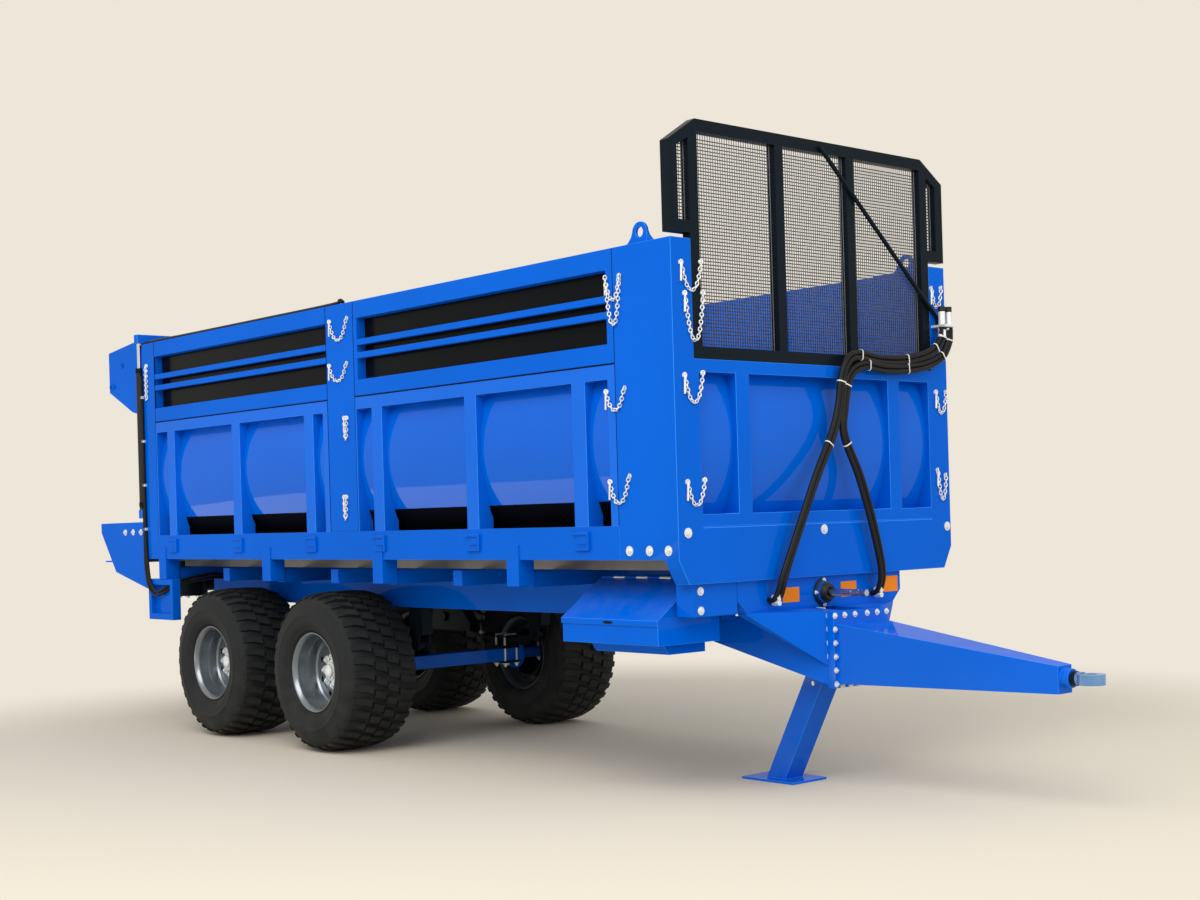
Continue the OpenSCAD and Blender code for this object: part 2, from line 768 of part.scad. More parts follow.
module springs() color(dark) {
    mid = (axle_1_s + axle_2_s) / 2;
    both_sides() {
        for (s = [axle_1_s, axle_2_s])
            for (k = [0 : 3])
                side_plate([[s - spring_end + k * 80, spring_z + 90 - k * 22],
                    [s - 60, spring_z + 20 + (3 - k) * 13],
                    [s + 60, spring_z + 20 + (3 - k) * 13],
                    [s + spring_end - k * 80, spring_z + 90 - k * 22],
                    [s + spring_end - k * 80, spring_z + 103 - k * 22],
                    [s + 60, spring_z + 33 + (3 - k) * 13],
                    [s - 60, spring_z + 33 + (3 - k) * 13],
                    [s - spring_end + k * 80, spring_z + 103 - k * 22]],
                    beam_y - 38, beam_y + 38);
        for (s = [axle_1_s, axle_2_s])
            block(s - 65, s + 65, beam_y - 42, beam_y + 42, spring_z, spring_z + 74);
        for (s = [axle_1_s - spring_end - 20, axle_2_s + spring_end + 20])
            side_plate([[s - 70, beam_low_z], [s + 70, beam_low_z],
                [s + 40, spring_z + 60], [s - 40, spring_z + 60]],
                beam_y - 42, beam_y + 42);
        side_plate([[mid - rocker_top_half, beam_low_z], [mid + rocker_top_half, beam_low_z],
            [mid + rocker_half, spring_z + rocker_low + rocker_t],
            [mid + rocker_half, spring_z + rocker_low],
            [mid - rocker_half, spring_z + rocker_low],
            [mid - rocker_half, spring_z + rocker_low + rocker_t]],
            beam_y - 42, beam_y + 42);
    }
}

disc_half = track / 2 + 75;
hub_end = disc_half + 45;
axle_flange_r = 95;
axle_flange_t = 20;
axle_reach = beam_y + 60;

module axles() color(paint) {
    axle(axle_1_s);
    axle(axle_2_s);
}

module axle(s) {
    block(s - axle_w / 2, s + axle_w / 2, -axle_reach, axle_reach,
        axle_z - axle_w / 2, axle_z + axle_w / 2);
    cross_rod(s, axle_z, -hub_end + 12, hub_end - 12, spindle_r);
    both_sides()
        cross_rod(s, axle_z, axle_reach - 5, axle_reach - 5 + axle_flange_t, axle_flange_r);
}

// Wheel axes: the axle line along Z, outwards up, the tyre's middle at Z = 0
module wheel_frame(s, left) side(left)
    translate([fx(s), -track / 2, axle_z]) rotate([90, 0, 0]) children();

rim_half = 215;

module rim(s, left) color(steel) wheel_frame(s, left) {
    hub_z = disc_half - track / 2;
    $fn = 72;
    rotate_extrude() polygon([[rim_r - 22, -rim_half], [rim_r, -rim_half],
        [rim_r, -rim_half + 10], [rim_r - 14, -rim_half + 16],
        [rim_r - 20, -60], [rim_r - 20, 100], [rim_r - 14, rim_half - 16],
        [rim_r, rim_half - 10], [rim_r, rim_half], [rim_r - 22, rim_half],
        [rim_r - 28, 90], [rim_r - 28, -70]]);
    difference() {
        translate([0, 0, hub_z - 14]) cylinder(h = 12, r = rim_r - 22);
        for (a = [0 : 45 : 315])
            rotate([0, 0, a + 22.5]) translate([155, 0, hub_z - 20]) cylinder(h = 30, r = 20);
        translate([0, 0, hub_z - 30]) cylinder(h = 60, r = 50);
    }
    difference() {
        translate([0, 0, hub_z - 110]) cylinder(h = 155, r = 69);
        translate([0, 0, hub_z - 111]) cylinder(h = 150, r = spindle_r + bearing_gap);
    }
}

lug_n = 18;
lug_h = 16;
bead_half = rim_half - 17;
wall_half = tyre_w / 2;
// The tyre's profile as [radius, across, lug side]: side 0 has no lugs, and the
// lugs of side 2 stand halfway between those of side 1
tyre_profile = [[rim_r - 13, -bead_half, 0], [rim_r + 3, -bead_half - 7, 0],
    [rim_r + 60, -wall_half, 0], [tyre_r - 60, -wall_half + 10, 0],
    [tyre_r - 8, -wall_half + 50, 1], [tyre_r, 0, 1], [tyre_r - 8, wall_half - 50, 2],
    [tyre_r - 60, wall_half - 10, 0], [rim_r + 60, wall_half, 0],
    [rim_r + 3, bead_half + 7, 0], [rim_r - 13, bead_half, 0]];

module tyre(s, left) color(dark) wheel_frame(s, left) {
    m = len(tyre_profile);
    n = 2 * lug_n;
    points = [for (i = [0 : n - 1]) for (q = tyre_profile)
        let (low = q[2] > 0 && (i + q[2]) % 2 == 0, r = q[0] - (low ? lug_h : 0))
            [r * cos(i * 360 / n), r * sin(i * 360 / n), q[1]]];
    faces = [for (i = [0 : n - 1]) for (k = [0 : m - 1])
        let (a = i * m + k, b = i * m + (k + 1) % m,
            c = ((i + 1) % n) * m + (k + 1) % m, d = ((i + 1) % n) * m + k)
                each [[a, b, c], [a, c, d]]];
    polyhedron(points, faces);
}

/* Tool box and front right tank */
tool_top_z = chassis_z + 40;
tool_low_z = 748;
tool_lid_z = 861;
tool_in = 255;
tool_end_s = tool_s + tool_l;
tool_hinge_y = half_w - tool_in;

tool_depth = 400;
tool_back_y = -half_w + tool_depth;
tool_wall = 4;
lid_t = 4;
lid_gap = 3;
lid_hinge_r = 6;
lid_hinge_y = -tool_hinge_y + lid_hinge_r + 2;
lid_hinge_z = tool_top_z + lid_gap + lid_hinge_r;

module tool_box() color(paint) {
    difference() {
        cross_plate([[-half_w, tool_low_z], [-half_w, tool_lid_z], [-tool_hinge_y, tool_top_z],
            [tool_back_y, tool_top_z], [tool_back_y, tool_low_z]], tool_s, tool_end_s);
        // the inside, open under the lid
        cross_plate([[-half_w + tool_wall, tool_low_z + tool_wall],
            [-half_w + tool_wall, tool_lid_z + 2 * tool_wall],
            [-tool_hinge_y, tool_top_z + 2 * tool_wall], [-tool_hinge_y, tool_top_z - tool_wall],
            [tool_back_y - tool_wall, tool_top_z - tool_wall],
            [tool_back_y - tool_wall, tool_low_z + tool_wall]],
            tool_s + tool_wall, tool_end_s - tool_wall);
    }
    // sump below and hanger to the chassis beam
    cross_plate([[-half_w + 120, tool_low_z], [-half_w + 160, tool_low_z - 55],
        [tool_back_y, tool_low_z - 55], [tool_back_y, tool_low_z]],
        tool_s + 100, tool_end_s - 60);
    block(tool_s + 120, tool_end_s - 120, tool_back_y, -beam_y - beam_w / 2,
        chassis_z - 100, chassis_z - 40);
}

module tool_lid() color(paint) {
    cross_plate([[-half_w - 6, tool_lid_z - 22], [-half_w - 6, tool_lid_z + lid_t],
        [-tool_hinge_y, tool_top_z + lid_gap + lid_t],
        [lid_hinge_y - 2, tool_top_z + lid_gap + lid_t], [lid_hinge_y - 2, tool_top_z + lid_gap],
        [-tool_hinge_y, tool_top_z + lid_gap],
        [-half_w - 2, tool_lid_z + 1], [-half_w - 2, tool_lid_z - 22]],
        tool_s - lid_t, tool_end_s + lid_t);
    long_rod(tool_s, tool_end_s, lid_hinge_y, lid_hinge_z, lid_hinge_r);
}

module oil_tank() color(paint)
    block(band_s, tool_s - 15, -half_w + 107, -band_half, band_z, apron_z);

skirt_s = axle_2_s + tyre_r + 34;
skirt_low_z = 735;
skirt_t = 60;
skirt_rim = 40;

// Hollow corner boxes hung under the last stakes, behind the wheels
module rear_skirts() color(paint) both_sides() difference() {
    block(skirt_s, box_l, half_w - skirt_t, half_w, skirt_low_z, stake_low_z);
    block(skirt_s + skirt_rim, box_l - skirt_rim, half_w - skirt_t + 25, half_w + 1,
        skirt_low_z + skirt_rim, stake_low_z - skirt_rim);
}

/* Rear gate */
gate_s = box_l + 12;
gate_t = 50;
gate_gap = 16;
gate_z = floor_top_z + slat_bar_h + gate_gap;
guide_y = half_w - 45;
ram_y = half_w;
ram_s = box_l + 40;
ram_low_z = sill_z + 339;
ram_top_z = box_top_z - 181;

guide_l = 80;
guide_lip = 60;
ram_foot = 24;
ram_foot_h = 60;

module gate_guides() color(paint) {
    twin_block(box_l, box_l + guide_l, guide_y, guide_y + plate_t, sill_z, box_top_z - 5);
    twin_block(box_l + gate_t + 20, box_l + guide_l, guide_y - guide_lip, guide_y, sill_z,
        box_top_z - 5);
    // brackets under the barrels
    twin_block(ram_s - ram_foot, ram_s + ram_foot, guide_y + plate_t, ram_y + ram_foot,
        ram_low_z - ram_foot_h, ram_low_z);
}

module rear_gate() color(paint) {
    block(gate_s, gate_s + 8, -guide_y + 6, guide_y - 6, gate_z, box_top_z - 5);
    // frame and ribs
    for (z = [gate_z, (gate_z + box_top_z) / 2 - 25, box_top_z - 65])
        block(gate_s + 8, gate_s + gate_t, -guide_y + 70, guide_y - 70, z, z + 50);
    for (y = [-guide_y + 70, -350, 300, guide_y - 120])
        block(gate_s + 8, gate_s + gate_t, y, y + 50, gate_z, box_top_z - 15);
    // head beam over the guides, with the rods hung from its ends
    block(gate_s, gate_s + gate_t, -ram_y - 25, ram_y + 25, box_top_z + 10,
        box_top_z + 70);
    block(gate_s, gate_s + 8, -guide_y + 70, guide_y - 70, box_top_z - 6, box_top_z + 11);
}

module gate_rods() color(steel) both_sides()
    translate([fx(ram_s), ram_y, ram_low_z + 46])
        cylinder(h = box_top_z + 10 - ram_low_z - 46, r = rod_r);

module gate_barrels() color(dark) both_sides()
    translate([fx(ram_s), ram_y, ram_low_z]) difference() {
        cylinder(h = ram_top_z - ram_low_z, r = barrel_r);
        translate([0, 0, 30]) cylinder(h = ram_top_z - ram_low_z, r = rod_r + bearing_gap);
    }

/* Beaters */
beater_x_s = box_l + beater_s;
housing_end_s = box_l + rear_reach;
cheek_s = box_l + 80;
deck_z = sill_z - 25;
deck_t = 10;
deck_s = cheek_s + 80;
head_z = box_top_z - 135;
head_h = 110;
head_half = 60;
pin_room = 60;
beater_low_z = deck_z + deck_t + pin_room;
screw_h = head_z - beater_low_z - pin_room;
core_r = 70;
foot_pin_r = 40;
head_pin_r = 30;
// side cheeks as [behind the posts, above the sills' lower edge] and, for the
// upper pair, [behind the posts, below the top edge]
low_cheek = [[80, 255], [rear_reach, 252], [rear_reach, 185], [560, -95], [80, -205]];
top_cheek = [[80, -45], [580, 10], [580, 290], [230, 450], [80, 480]];

module beater_housing() color(paint) {
    difference() {
        union() {
            block(deck_s, housing_end_s - 30, -guide_y, guide_y, deck_z, deck_z + deck_t);
            both_sides() {
                side_plate([for (q = low_cheek) [box_l + q[0], sill_z + q[1]]],
                    guide_y, guide_y + plate_t);
                side_plate([for (q = top_cheek) [box_l + q[0], box_top_z - q[1]]],
                    guide_y, guide_y + plate_t);
            }
            // head beam over the beaters
            block(beater_x_s - head_half, beater_x_s + head_half, -guide_y, guide_y,
                head_z, head_z + head_h);
        }
        for (y = [-beater_y, beater_y])
            translate([fx(beater_x_s), y, 0]) {
                translate([0, 0, deck_z - 1]) cylinder(h = deck_t + 2, r = foot_pin_r + 6);
                translate([0, 0, head_z - 1]) cylinder(h = head_h - 20,
                    r = head_pin_r + bearing_gap);
            }
    }
}

gearbox_r = 110;
gearbox_low = 90;
drive_tube_r = 62;
foot_pin_l = 80;

module beater_drive() color(dark) {
    difference() {
        union() {
            cross_rod(beater_x_s, pto_z, -beater_y, beater_y, drive_tube_r);
            for (y = [-beater_y, beater_y])
                translate([fx(beater_x_s), y, pto_z - gearbox_low])
                    cylinder(h = deck_z - pto_z + gearbox_low, r = gearbox_r);
            block(beater_x_s - gearbox_half, beater_x_s + gearbox_half,
                -gearbox_half, gearbox_half, pto_z - gearbox_low, deck_z);
        }
        for (y = [-beater_y, beater_y])
            translate([fx(beater_x_s), y, deck_z - foot_pin_l])
                cylinder(h = foot_pin_l + 1, r = foot_pin_r + bearing_gap);
    }
}

// A screw flight between two radii, as one polyhedron with few faces
module flight(r_0, r_1, height, pitch, t, hand) {
    n = ceil(16 * height / pitch);
    points = [for (i = [0 : n]) let (a = hand * 360 * i * height / pitch / n,
        z = i * height / n) for (q = [[r_0, 0], [r_1, 0], [r_1, t], [r_0, t]])
            [q[0] * cos(a), q[0] * sin(a), z + q[1]]];
    turned = [for (i = [0 : n - 1]) for (k = [0 : 3]) let (m = (k + 1) % 4)
        each [[4 * i + k, 4 * i + m, 4 * i + 4 + m], [4 * i + k, 4 * i + 4 + m, 4 * i + 4 + k]]];
    faces = concat([[3, 2, 1, 0]], turned, [[4 * n, 4 * n + 1, 4 * n + 2, 4 * n + 3]]);
    polyhedron(points, hand > 0 ? faces
        : [for (f = faces) [for (i = [len(f) - 1 : -1 : 0]) f[i]]]);
}

flight_t = 10;
tooth_n = 9;
tooth_l = 80;

// One beater, its screw turning to the left (hand = 1) or right (hand = -1)
module beater(hand) color(paint) translate([fx(beater_x_s), -hand * beater_y, 0]) {
    translate([0, 0, deck_z - foot_pin_l + 2])
        cylinder(h = beater_low_z - deck_z + foot_pin_l, r = foot_pin_r);
    translate([0, 0, beater_low_z]) cylinder(h = screw_h, r = core_r);
    translate([0, 0, beater_low_z]) cylinder(h = 12, r = beater_r - 20);
    translate([0, 0, beater_low_z + screw_h - 1])
        cylinder(h = head_z - beater_low_z - screw_h + head_h - 30, r = head_pin_r);
    flight_h = screw_h - 30;
    for (start = [0, 180])
        rotate([0, 0, start]) translate([0, 0, beater_low_z + 8]) {
            flight(core_r - 6, beater_r - 40, flight_h, beater_pitch, flight_t, hand);
            for (k = [1 : tooth_n]) let (z = k * flight_h / (tooth_n + 0.4))
                translate([0, 0, z]) rotate([0, 0, hand * 360 * z / beater_pitch])
                    translate([beater_r - tooth_l, -6, -20]) cube([tooth_l, 12, 50]);
        }
}

/* Hoses */
rack_z = box_top_z - 323;
hose_r = 20;
// Routes as [s, y, z]: from the girder's ports up to the tie, along the
// screen's bottom rail and to the couplers on the left front pillar
route_right = [[30, -375, 930], [0, -375, 930], [-28, -370, 965], [-45, -345, 1060],
    [-52, -230, 1300], [-50, -110, 1520], [-46, 20, 1720], [-40, 80, 1850], [-40, 110, 2000],
    [-48, 150, 2090], [-50, 230, 2120], [-44, 400, 2105], [-40, 600, 2110],
    [-46, 760, 2140], [-52, 850, 2180], [-56, 897, rack_z - 62],
    [-56, 900, rack_z - 30], [-56, 900, rack_z]];
route_left = [[30, 380, 930], [0, 380, 930], [-28, 376, 965], [-45, 365, 1060],
    [-52, 290, 1300], [-50, 210, 1520], [-46, 110, 1720], [-40, 122, 1850], [-40, 152, 1980],
    [-48, 200, 2045], [-50, 290, 2072], [-44, 430, 2060], [-40, 600, 2064],
    [-46, 780, 2090], [-52, 900, 2140], [-56, 950, rack_z - 82],
    [-56, 955, rack_z - 30], [-56, 955, rack_z]];

// A round tube of n sides swept along [s, y, z] points
module sweep(route, r, n = 8) {
    p = [for (q = route) [fx(q[0]), q[1], q[2]]];
    last = len(p) - 1;
    t = [for (i = [0 : last])
        let (d = p[min(i + 1, last)] - p[max(i - 1, 0)]) d / norm(d)];
    rings = [for (i = [0 : last])
        let (u0 = cross(t[i], [1, 0, 0.01]), u = u0 / norm(u0), v = cross(t[i], u))
        for (k = [0 : n - 1])
            p[i] + r * (cos(k * 360 / n) * u + sin(k * 360 / n) * v)];
    sides = [for (i = [0 : last - 1]) for (k = [0 : n - 1])
        [i * n + k, (i + 1) * n + k, (i + 1) * n + (k + 1) % n, i * n + (k + 1) % n]];
    low = [for (k = [0 : n - 1]) k];
    high = [for (k = [0 : n - 1]) last * n + n - 1 - k];
    polyhedron(rings, concat([low], sides, [high]));
}

module hoses() color(dark) {
    sweep(route_right, hose_r);
    sweep(route_left, hose_r);
}

rack_t = 12;
rack_l = 90;
coupler_s = -56;
coupler_r = 18;
coupler_in = [100, 45];

module coupler_rack() color(zinc) {
    block(-rack_l, 0, half_w - coupler_in[0] - coupler_r, half_w - coupler_in[1] + coupler_r,
        rack_z, rack_z + rack_t);
    for (q = coupler_in)
        translate([fx(coupler_s), half_w - q, rack_z + rack_t])
            cylinder(h = rack_l, r = coupler_r);
}

chassis();
bearers();
front_frame();
drawbar();
towing_eye();
sills();
front_pillars();
wall_posts();
lower_frames();
belly_panels();
floor_skirts();
extensions();
liner_panels();
front_wall();
front_apron();
front_posts();
screen_frame();
screen_mesh();
floor();
conveyor();
drive_shaft();
springs();
axles();
rim(axle_1_s, false);  // rim_front_right
rim(axle_1_s, true);  // rim_front_left
rim(axle_2_s, false);  // rim_rear_right
rim(axle_2_s, true);  // rim_rear_left
tyre(axle_1_s, false);  // tyre_front_right
tyre(axle_1_s, true);  // tyre_front_left
tyre(axle_2_s, false);  // tyre_rear_right
tyre(axle_2_s, true);  // tyre_rear_left
tool_box();
tool_lid();
oil_tank();
rear_skirts();
stand_leg();
stand_barrel();
stand_rod();
gate_guides();
rear_gate();
gate_rods();
gate_barrels();
beater_housing();
beater_drive();
beater(1);  // beater_right
beater(-1);  // beater_left
hoses();
coupler_rack();
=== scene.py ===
# Looks of a two-axle spreader trailer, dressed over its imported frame.
# Metres: +X runs forward to the drawbar, +Y to the trailer's left, +Z up from the
# ground. A place called s lies that far behind the front wall's face.
import math

import bmesh
import bpy
from mathutils import Matrix, Vector


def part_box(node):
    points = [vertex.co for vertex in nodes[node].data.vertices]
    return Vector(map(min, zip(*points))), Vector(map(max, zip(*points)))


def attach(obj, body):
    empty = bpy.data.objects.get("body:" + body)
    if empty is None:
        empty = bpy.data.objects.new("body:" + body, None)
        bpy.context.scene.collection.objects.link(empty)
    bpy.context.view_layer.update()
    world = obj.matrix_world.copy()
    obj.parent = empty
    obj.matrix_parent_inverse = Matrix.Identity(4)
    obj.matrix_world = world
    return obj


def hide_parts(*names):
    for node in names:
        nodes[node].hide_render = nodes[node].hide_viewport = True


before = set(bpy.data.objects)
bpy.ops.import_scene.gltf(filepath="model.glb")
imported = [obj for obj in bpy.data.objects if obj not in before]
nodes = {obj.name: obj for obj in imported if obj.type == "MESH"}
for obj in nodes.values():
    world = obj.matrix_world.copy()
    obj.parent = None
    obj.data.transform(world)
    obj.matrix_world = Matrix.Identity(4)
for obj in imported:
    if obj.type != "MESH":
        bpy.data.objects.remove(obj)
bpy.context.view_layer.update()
front_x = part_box("front_wall")[1].x
half_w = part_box("front_wall")[1].y

# ---------------------------------------------------------------- Camera
# A camera held by hand, low and level, ahead of the right front corner, with the
# slight roll that a hand gives it.


def linked(thing):
    bpy.context.scene.collection.objects.link(thing)
    return thing


camera_place = Vector((front_x + 5.552, -6.331, 1.367))
camera_turn = math.radians(41.213)
camera_roll = math.radians(-1.654)

look = Vector((-math.cos(camera_turn), math.sin(camera_turn), 0))
level = Vector((math.sin(camera_turn), math.cos(camera_turn), 0))
right = level * math.cos(camera_roll) + Vector((0, 0, math.sin(camera_roll)))
camera_axes = Matrix((right, right.cross(look), -look)).transposed()

camera_data = bpy.data.cameras.new("camera")
camera_data.sensor_width = 36.0
camera_data.lens = 50.97
camera_data.shift_y = 0.053
camera = linked(bpy.data.objects.new("camera", camera_data))
camera.matrix_world = Matrix.Translation(camera_place) @ camera_axes.to_4x4()
bpy.context.scene.camera = camera

# ---------------------------------------------------------------- Floor and light
# A pale, plain studio floor whose far field runs into the backdrop's warm beige,
# under a soft overhead sky and two large soft lamps. The sky lights evenly; the
# camera and every gloss see the backdrop's own colour.


def feed(node, inputs):
    """Gives a node's inputs their values, or the sockets that feed them."""
    for name, value in inputs.items():
        socket = node.inputs[name]
        if isinstance(value, bpy.types.NodeSocket):
            node.id_data.links.new(value, socket)
        else:
            socket.default_value = (*value, 1.0) if socket.type == "RGBA" else value


def put(tree, kind, inputs=None, **settings):
    """Adds a node with its settings and inputs."""
    made = tree.nodes.new(kind)
    for name, value in settings.items():
        setattr(made, name, value)
    feed(made, inputs or {})
    return made


def out(tree, kind, inputs=None, **settings):
    """Adds a node and gives its first output."""
    return put(tree, kind, inputs, **settings).outputs[0]


def calc(tree, operation, *values, **settings):
    """The result of a Math node."""
    return out(tree, "ShaderNodeMath", dict(enumerate(values)), operation=operation,
               **settings)


def remap(tree, value, low, high, start=0.0, end=1.0, **settings):
    return out(tree, "ShaderNodeMapRange", {"Value": value, "From Min": low,
               "From Max": high, "To Min": start, "To Max": end}, **settings)


def here(tree):
    return put(tree, "ShaderNodeTexCoord").outputs["Object"]


def seen_directly(tree):
    """1 for the rays that the camera, a gloss or a clear piece sends out."""
    path = put(tree, "ShaderNodeLightPath").outputs
    return calc(tree, "MAXIMUM", path["Is Camera Ray"], calc(
        tree, "MAXIMUM", path["Is Glossy Ray"], path["Is Transmission Ray"]))


backdrop_colour = (0.847, 0.791, 0.696)
floor_colour = (0.695, 0.62, 0.497)
floor_near, floor_far, floor_half = 3.6, 6.2, 60.0
bpy.context.scene.view_settings.view_transform = "Standard"

world = bpy.data.worlds.new("soft_sky")
bpy.context.scene.world = world
floor_paint = bpy.data.materials.new("studio_floor")
for thing in (world, floor_paint):
    thing.use_nodes = True
    thing.node_tree.nodes.clear()

tree = world.node_tree
put(tree, "ShaderNodeOutputWorld", {"Surface": out(tree, "ShaderNodeMixShader", {
    0: seen_directly(tree),
    1: out(tree, "ShaderNodeBackground", {"Color": (0.93, 0.96, 1.0),
           "Strength": 0.85}),
    2: out(tree, "ShaderNodeBackground", {"Color": backdrop_colour})})})

tree = floor_paint.node_tree
reach = put(tree, "ShaderNodeVectorMath", {0: here(tree)},
            operation="LENGTH").outputs["Value"]
far_share = remap(tree, reach, floor_near, floor_far, interpolation_type="SMOOTHSTEP")
put(tree, "ShaderNodeOutputMaterial", {"Surface": out(tree, "ShaderNodeMixShader", {
    0: calc(tree, "MULTIPLY", far_share, seen_directly(tree)),
    1: out(tree, "ShaderNodeBsdfDiffuse", {"Color": floor_colour}),
    2: out(tree, "ShaderNodeEmission", {"Color": backdrop_colour})})})

floor_mesh = bpy.data.meshes.new("studio_floor")
floor_mesh.from_pydata([(x * floor_half, y * floor_half, 0) for x, y in
                        ((-1, -1), (1, -1), (1, 1), (-1, 1))], [], [(0, 1, 2, 3)])
floor_mesh.materials.append(floor_paint)
linked(bpy.data.objects.new("studio_floor", floor_mesh))

# Each lamp: where it hangs, the two sizes of its face, its aim and its power in
# watts. The last is a low panel beside the trailer that the curved walls mirror.
for name, place, sizes, aim, power in (
        ("key_lamp", (4.6, -7.9, 8.2), (8.0, 8.0), (0, 0, 1.2), 780.0),
        ("fill_lamp", (9.0, 0.5, 4.5), (7.0, 7.0), (0, 0, 1.2), 170.0),
        ("low_panel", (-4.6, -3.9, 0.05), (7.6, 2.2), (-4.6, -3.9, 3.0), 90.0)):
    data = bpy.data.lights.new(name, "AREA")
    data.shape = "RECTANGLE"
    data.size, data.size_y = sizes
    data.energy = power
    lamp = linked(bpy.data.objects.new(name, data))
    lamp.location = place
    beam = Vector(aim) - lamp.location
    lamp.rotation_euler = beam.to_track_quat("-Z", "Y").to_euler()
    lamp.visible_camera = False

# ---------------------------------------------------------------- Painted steelwork
# Frame, walls, drawbar and rear unit are folded and welded steel sheet in a glossy
# blue enamel. Every cut edge is ground round; most carry a paler blue there as a
# painted highlight, a thin line of light.
enamel_blue = (0.0, 0.108, 0.60)
dust_colour = (0.42, 0.37, 0.29)


def new_group(name, kind, inputs, output):
    """An empty node group: its inputs are (name, type, value), its output (name,
    type). Gives the group, its inputs' sockets and its end node."""
    group = bpy.data.node_groups.new(name, kind)
    for label, socket_kind, value in inputs:
        socket = group.interface.new_socket(label, in_out="INPUT",
                                            socket_type="NodeSocket" + socket_kind)
        if value is not None:
            socket.default_value = value
    group.interface.new_socket(output[0], in_out="OUTPUT",
                               socket_type="NodeSocket" + output[1])
    return (group, group.nodes.new("NodeGroupInput").outputs,
            group.nodes.new("NodeGroupOutput"))


def shader_group(name, output, **inputs):
    return new_group(name, "ShaderNodeTree", [(key.replace("_", " "), "Float", value)
                     for key, value in inputs.items()], (output, "Float"))


def noise(tree, scale, detail=2.0, roughness=0.5, spot=None):
    """A cloudy pattern over the part."""
    return out(tree, "ShaderNodeTexNoise", {"Vector": spot or here(tree),
               "Scale": scale, "Detail": detail, "Roughness": roughness})


def z_of(tree, vector):
    return put(tree, "ShaderNodeSeparateXYZ", {0: vector}).outputs["Z"]


# The faint ripple that a sprayed coat dries with, as a height
skin, given, end = shader_group("sprayed_skin", "Height", Grain=160.0, Waves=3.5,
                                Share=0.35)
feed(end, {"Height": out(skin, "ShaderNodeMix", {0: given["Share"],
     2: noise(skin, given["Waves"], 0.0), 3: noise(skin, given["Grain"], 1.0)})})

# Dust that settles on upward faces and is thrown up low down, as a mask
dust_mask, given, end = shader_group("settled_dust", "Mask", Amount=0.3, Scale=6.0,
                                     Splash_Height=0.7)
up = z_of(dust_mask, put(dust_mask, "ShaderNodeNewGeometry").outputs["Normal"])
lying = remap(dust_mask, up, 0.45, 0.95)
low = remap(dust_mask, z_of(dust_mask, here(dust_mask)), 0.0, given["Splash Height"],
            1.0, 0.0)
patches = remap(dust_mask, noise(dust_mask, given["Scale"], 6.0, 0.65), 0.38, 0.72)
held = calc(dust_mask, "MULTIPLY", calc(dust_mask, "MAXIMUM", lying, low), patches)
feed(end, {"Mask": calc(dust_mask, "MULTIPLY", held, given["Amount"],
                        use_clamp=True)})

# Scuffs where metal is stepped on, knocked or rubbed, as a mask
scuffs, given, end = shader_group("scuffs", "Mask", Amount=0.2, Scale=9.0)
drawn_out = out(scuffs, "ShaderNodeMapping", {"Vector": here(scuffs),
                "Scale": (1.0, 1.0, 3.0)})
limit = calc(scuffs, "SUBTRACT", 0.78, calc(scuffs, "MULTIPLY", given["Amount"], 0.2))
feed(end, {"Mask": remap(scuffs, noise(scuffs, given["Scale"], 8.0, 0.75, drawn_out),
                         limit, 0.82)})


def new_surface(name):
    """A node material with an empty tree and one Principled shader."""
    material = bpy.data.materials.new(name)
    material.use_nodes = True
    surface = material.node_tree
    surface.nodes.clear()
    shader = put(surface, "ShaderNodeBsdfPrincipled")
    put(surface, "ShaderNodeOutputMaterial", {"Surface": shader.outputs[0]})
    return material, surface, shader


def group_out(surface, group, **values):
    """A shader group placed in a material, with spaces for underscores."""
    return out(surface, "ShaderNodeGroup", {key.replace("_", " "): value
               for key, value in values.items()}, node_tree=group)


def mix_colour(tree, share, first, second):
    return put(tree, "ShaderNodeMix", {0: share, 6: first, 7: second},
               data_type="RGBA").outputs[2]


def enamel(slot, name, colour, gloss=0.22, dust=0.08, worn=0.0, coat=0.16, shine=0.0,
           tint=None):
    """Sprayed enamel: an even colour, a clear skin, dust and a few scuffs. A finish
    is a slot of the record, or None for a trim that it doesn't list, and the
    material that shows it."""
    material, surface, shader = new_surface(name)
    deeper = tuple(c * 0.82 for c in colour)
    paler = tuple(min(1.0, c * 1.12) for c in colour)
    base = mix_colour(surface, noise(surface, 0.9, 3.0), deeper, paler)
    dusty = group_out(surface, dust_mask, Amount=dust)
    base = mix_colour(surface, dusty, base, dust_colour)
    if worn:
        base = mix_colour(surface, group_out(surface, scuffs, Amount=worn), base,
                          (0.16, 0.15, 0.14))
    if tint:
        feed(shader, {"Specular Tint": tint})
    feed(shader, {"Base Color": base, "Coat Weight": coat, "Coat Roughness": 0.05,
         "Specular IOR Level": shine,
         "Roughness": remap(surface, dusty, 0.0, 1.0, gloss, 0.75),
         "Normal": out(surface, "ShaderNodeBump", {"Strength": 0.05,
                       "Distance": 0.004, "Height": group_out(surface, skin)})})
    return slot, material


blue = enamel("blue_paint", "blue_enamel", enamel_blue)
# A paler blue for ground edges: a painted highlight, the thin line of light along them
painted_highlight_blue = enamel(None, "blue_enamel_edge", (0.03, 0.26, 0.90))
ribbed_blue = enamel("blue_paint", "blue_enamel_ribs", (0.002, 0.125, 0.66),
                     coat=0.35)
worn_blue = enamel("blue_paint", "blue_enamel_worn", enamel_blue, dust=0.06, worn=0.4,
                   coat=0.3)


def add_piece(name, mesh, finish, body="root", instead=()):
    """A finished piece: its shape, the body it moves with, and the CAD nodes that
    it shows in place of."""
    slot, material = finish
    piece = linked(bpy.data.objects.new(name, mesh))
    mesh.materials.clear()
    mesh.materials.append(material)
    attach(piece, body)
    if instead:
        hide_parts(*instead)
    return piece


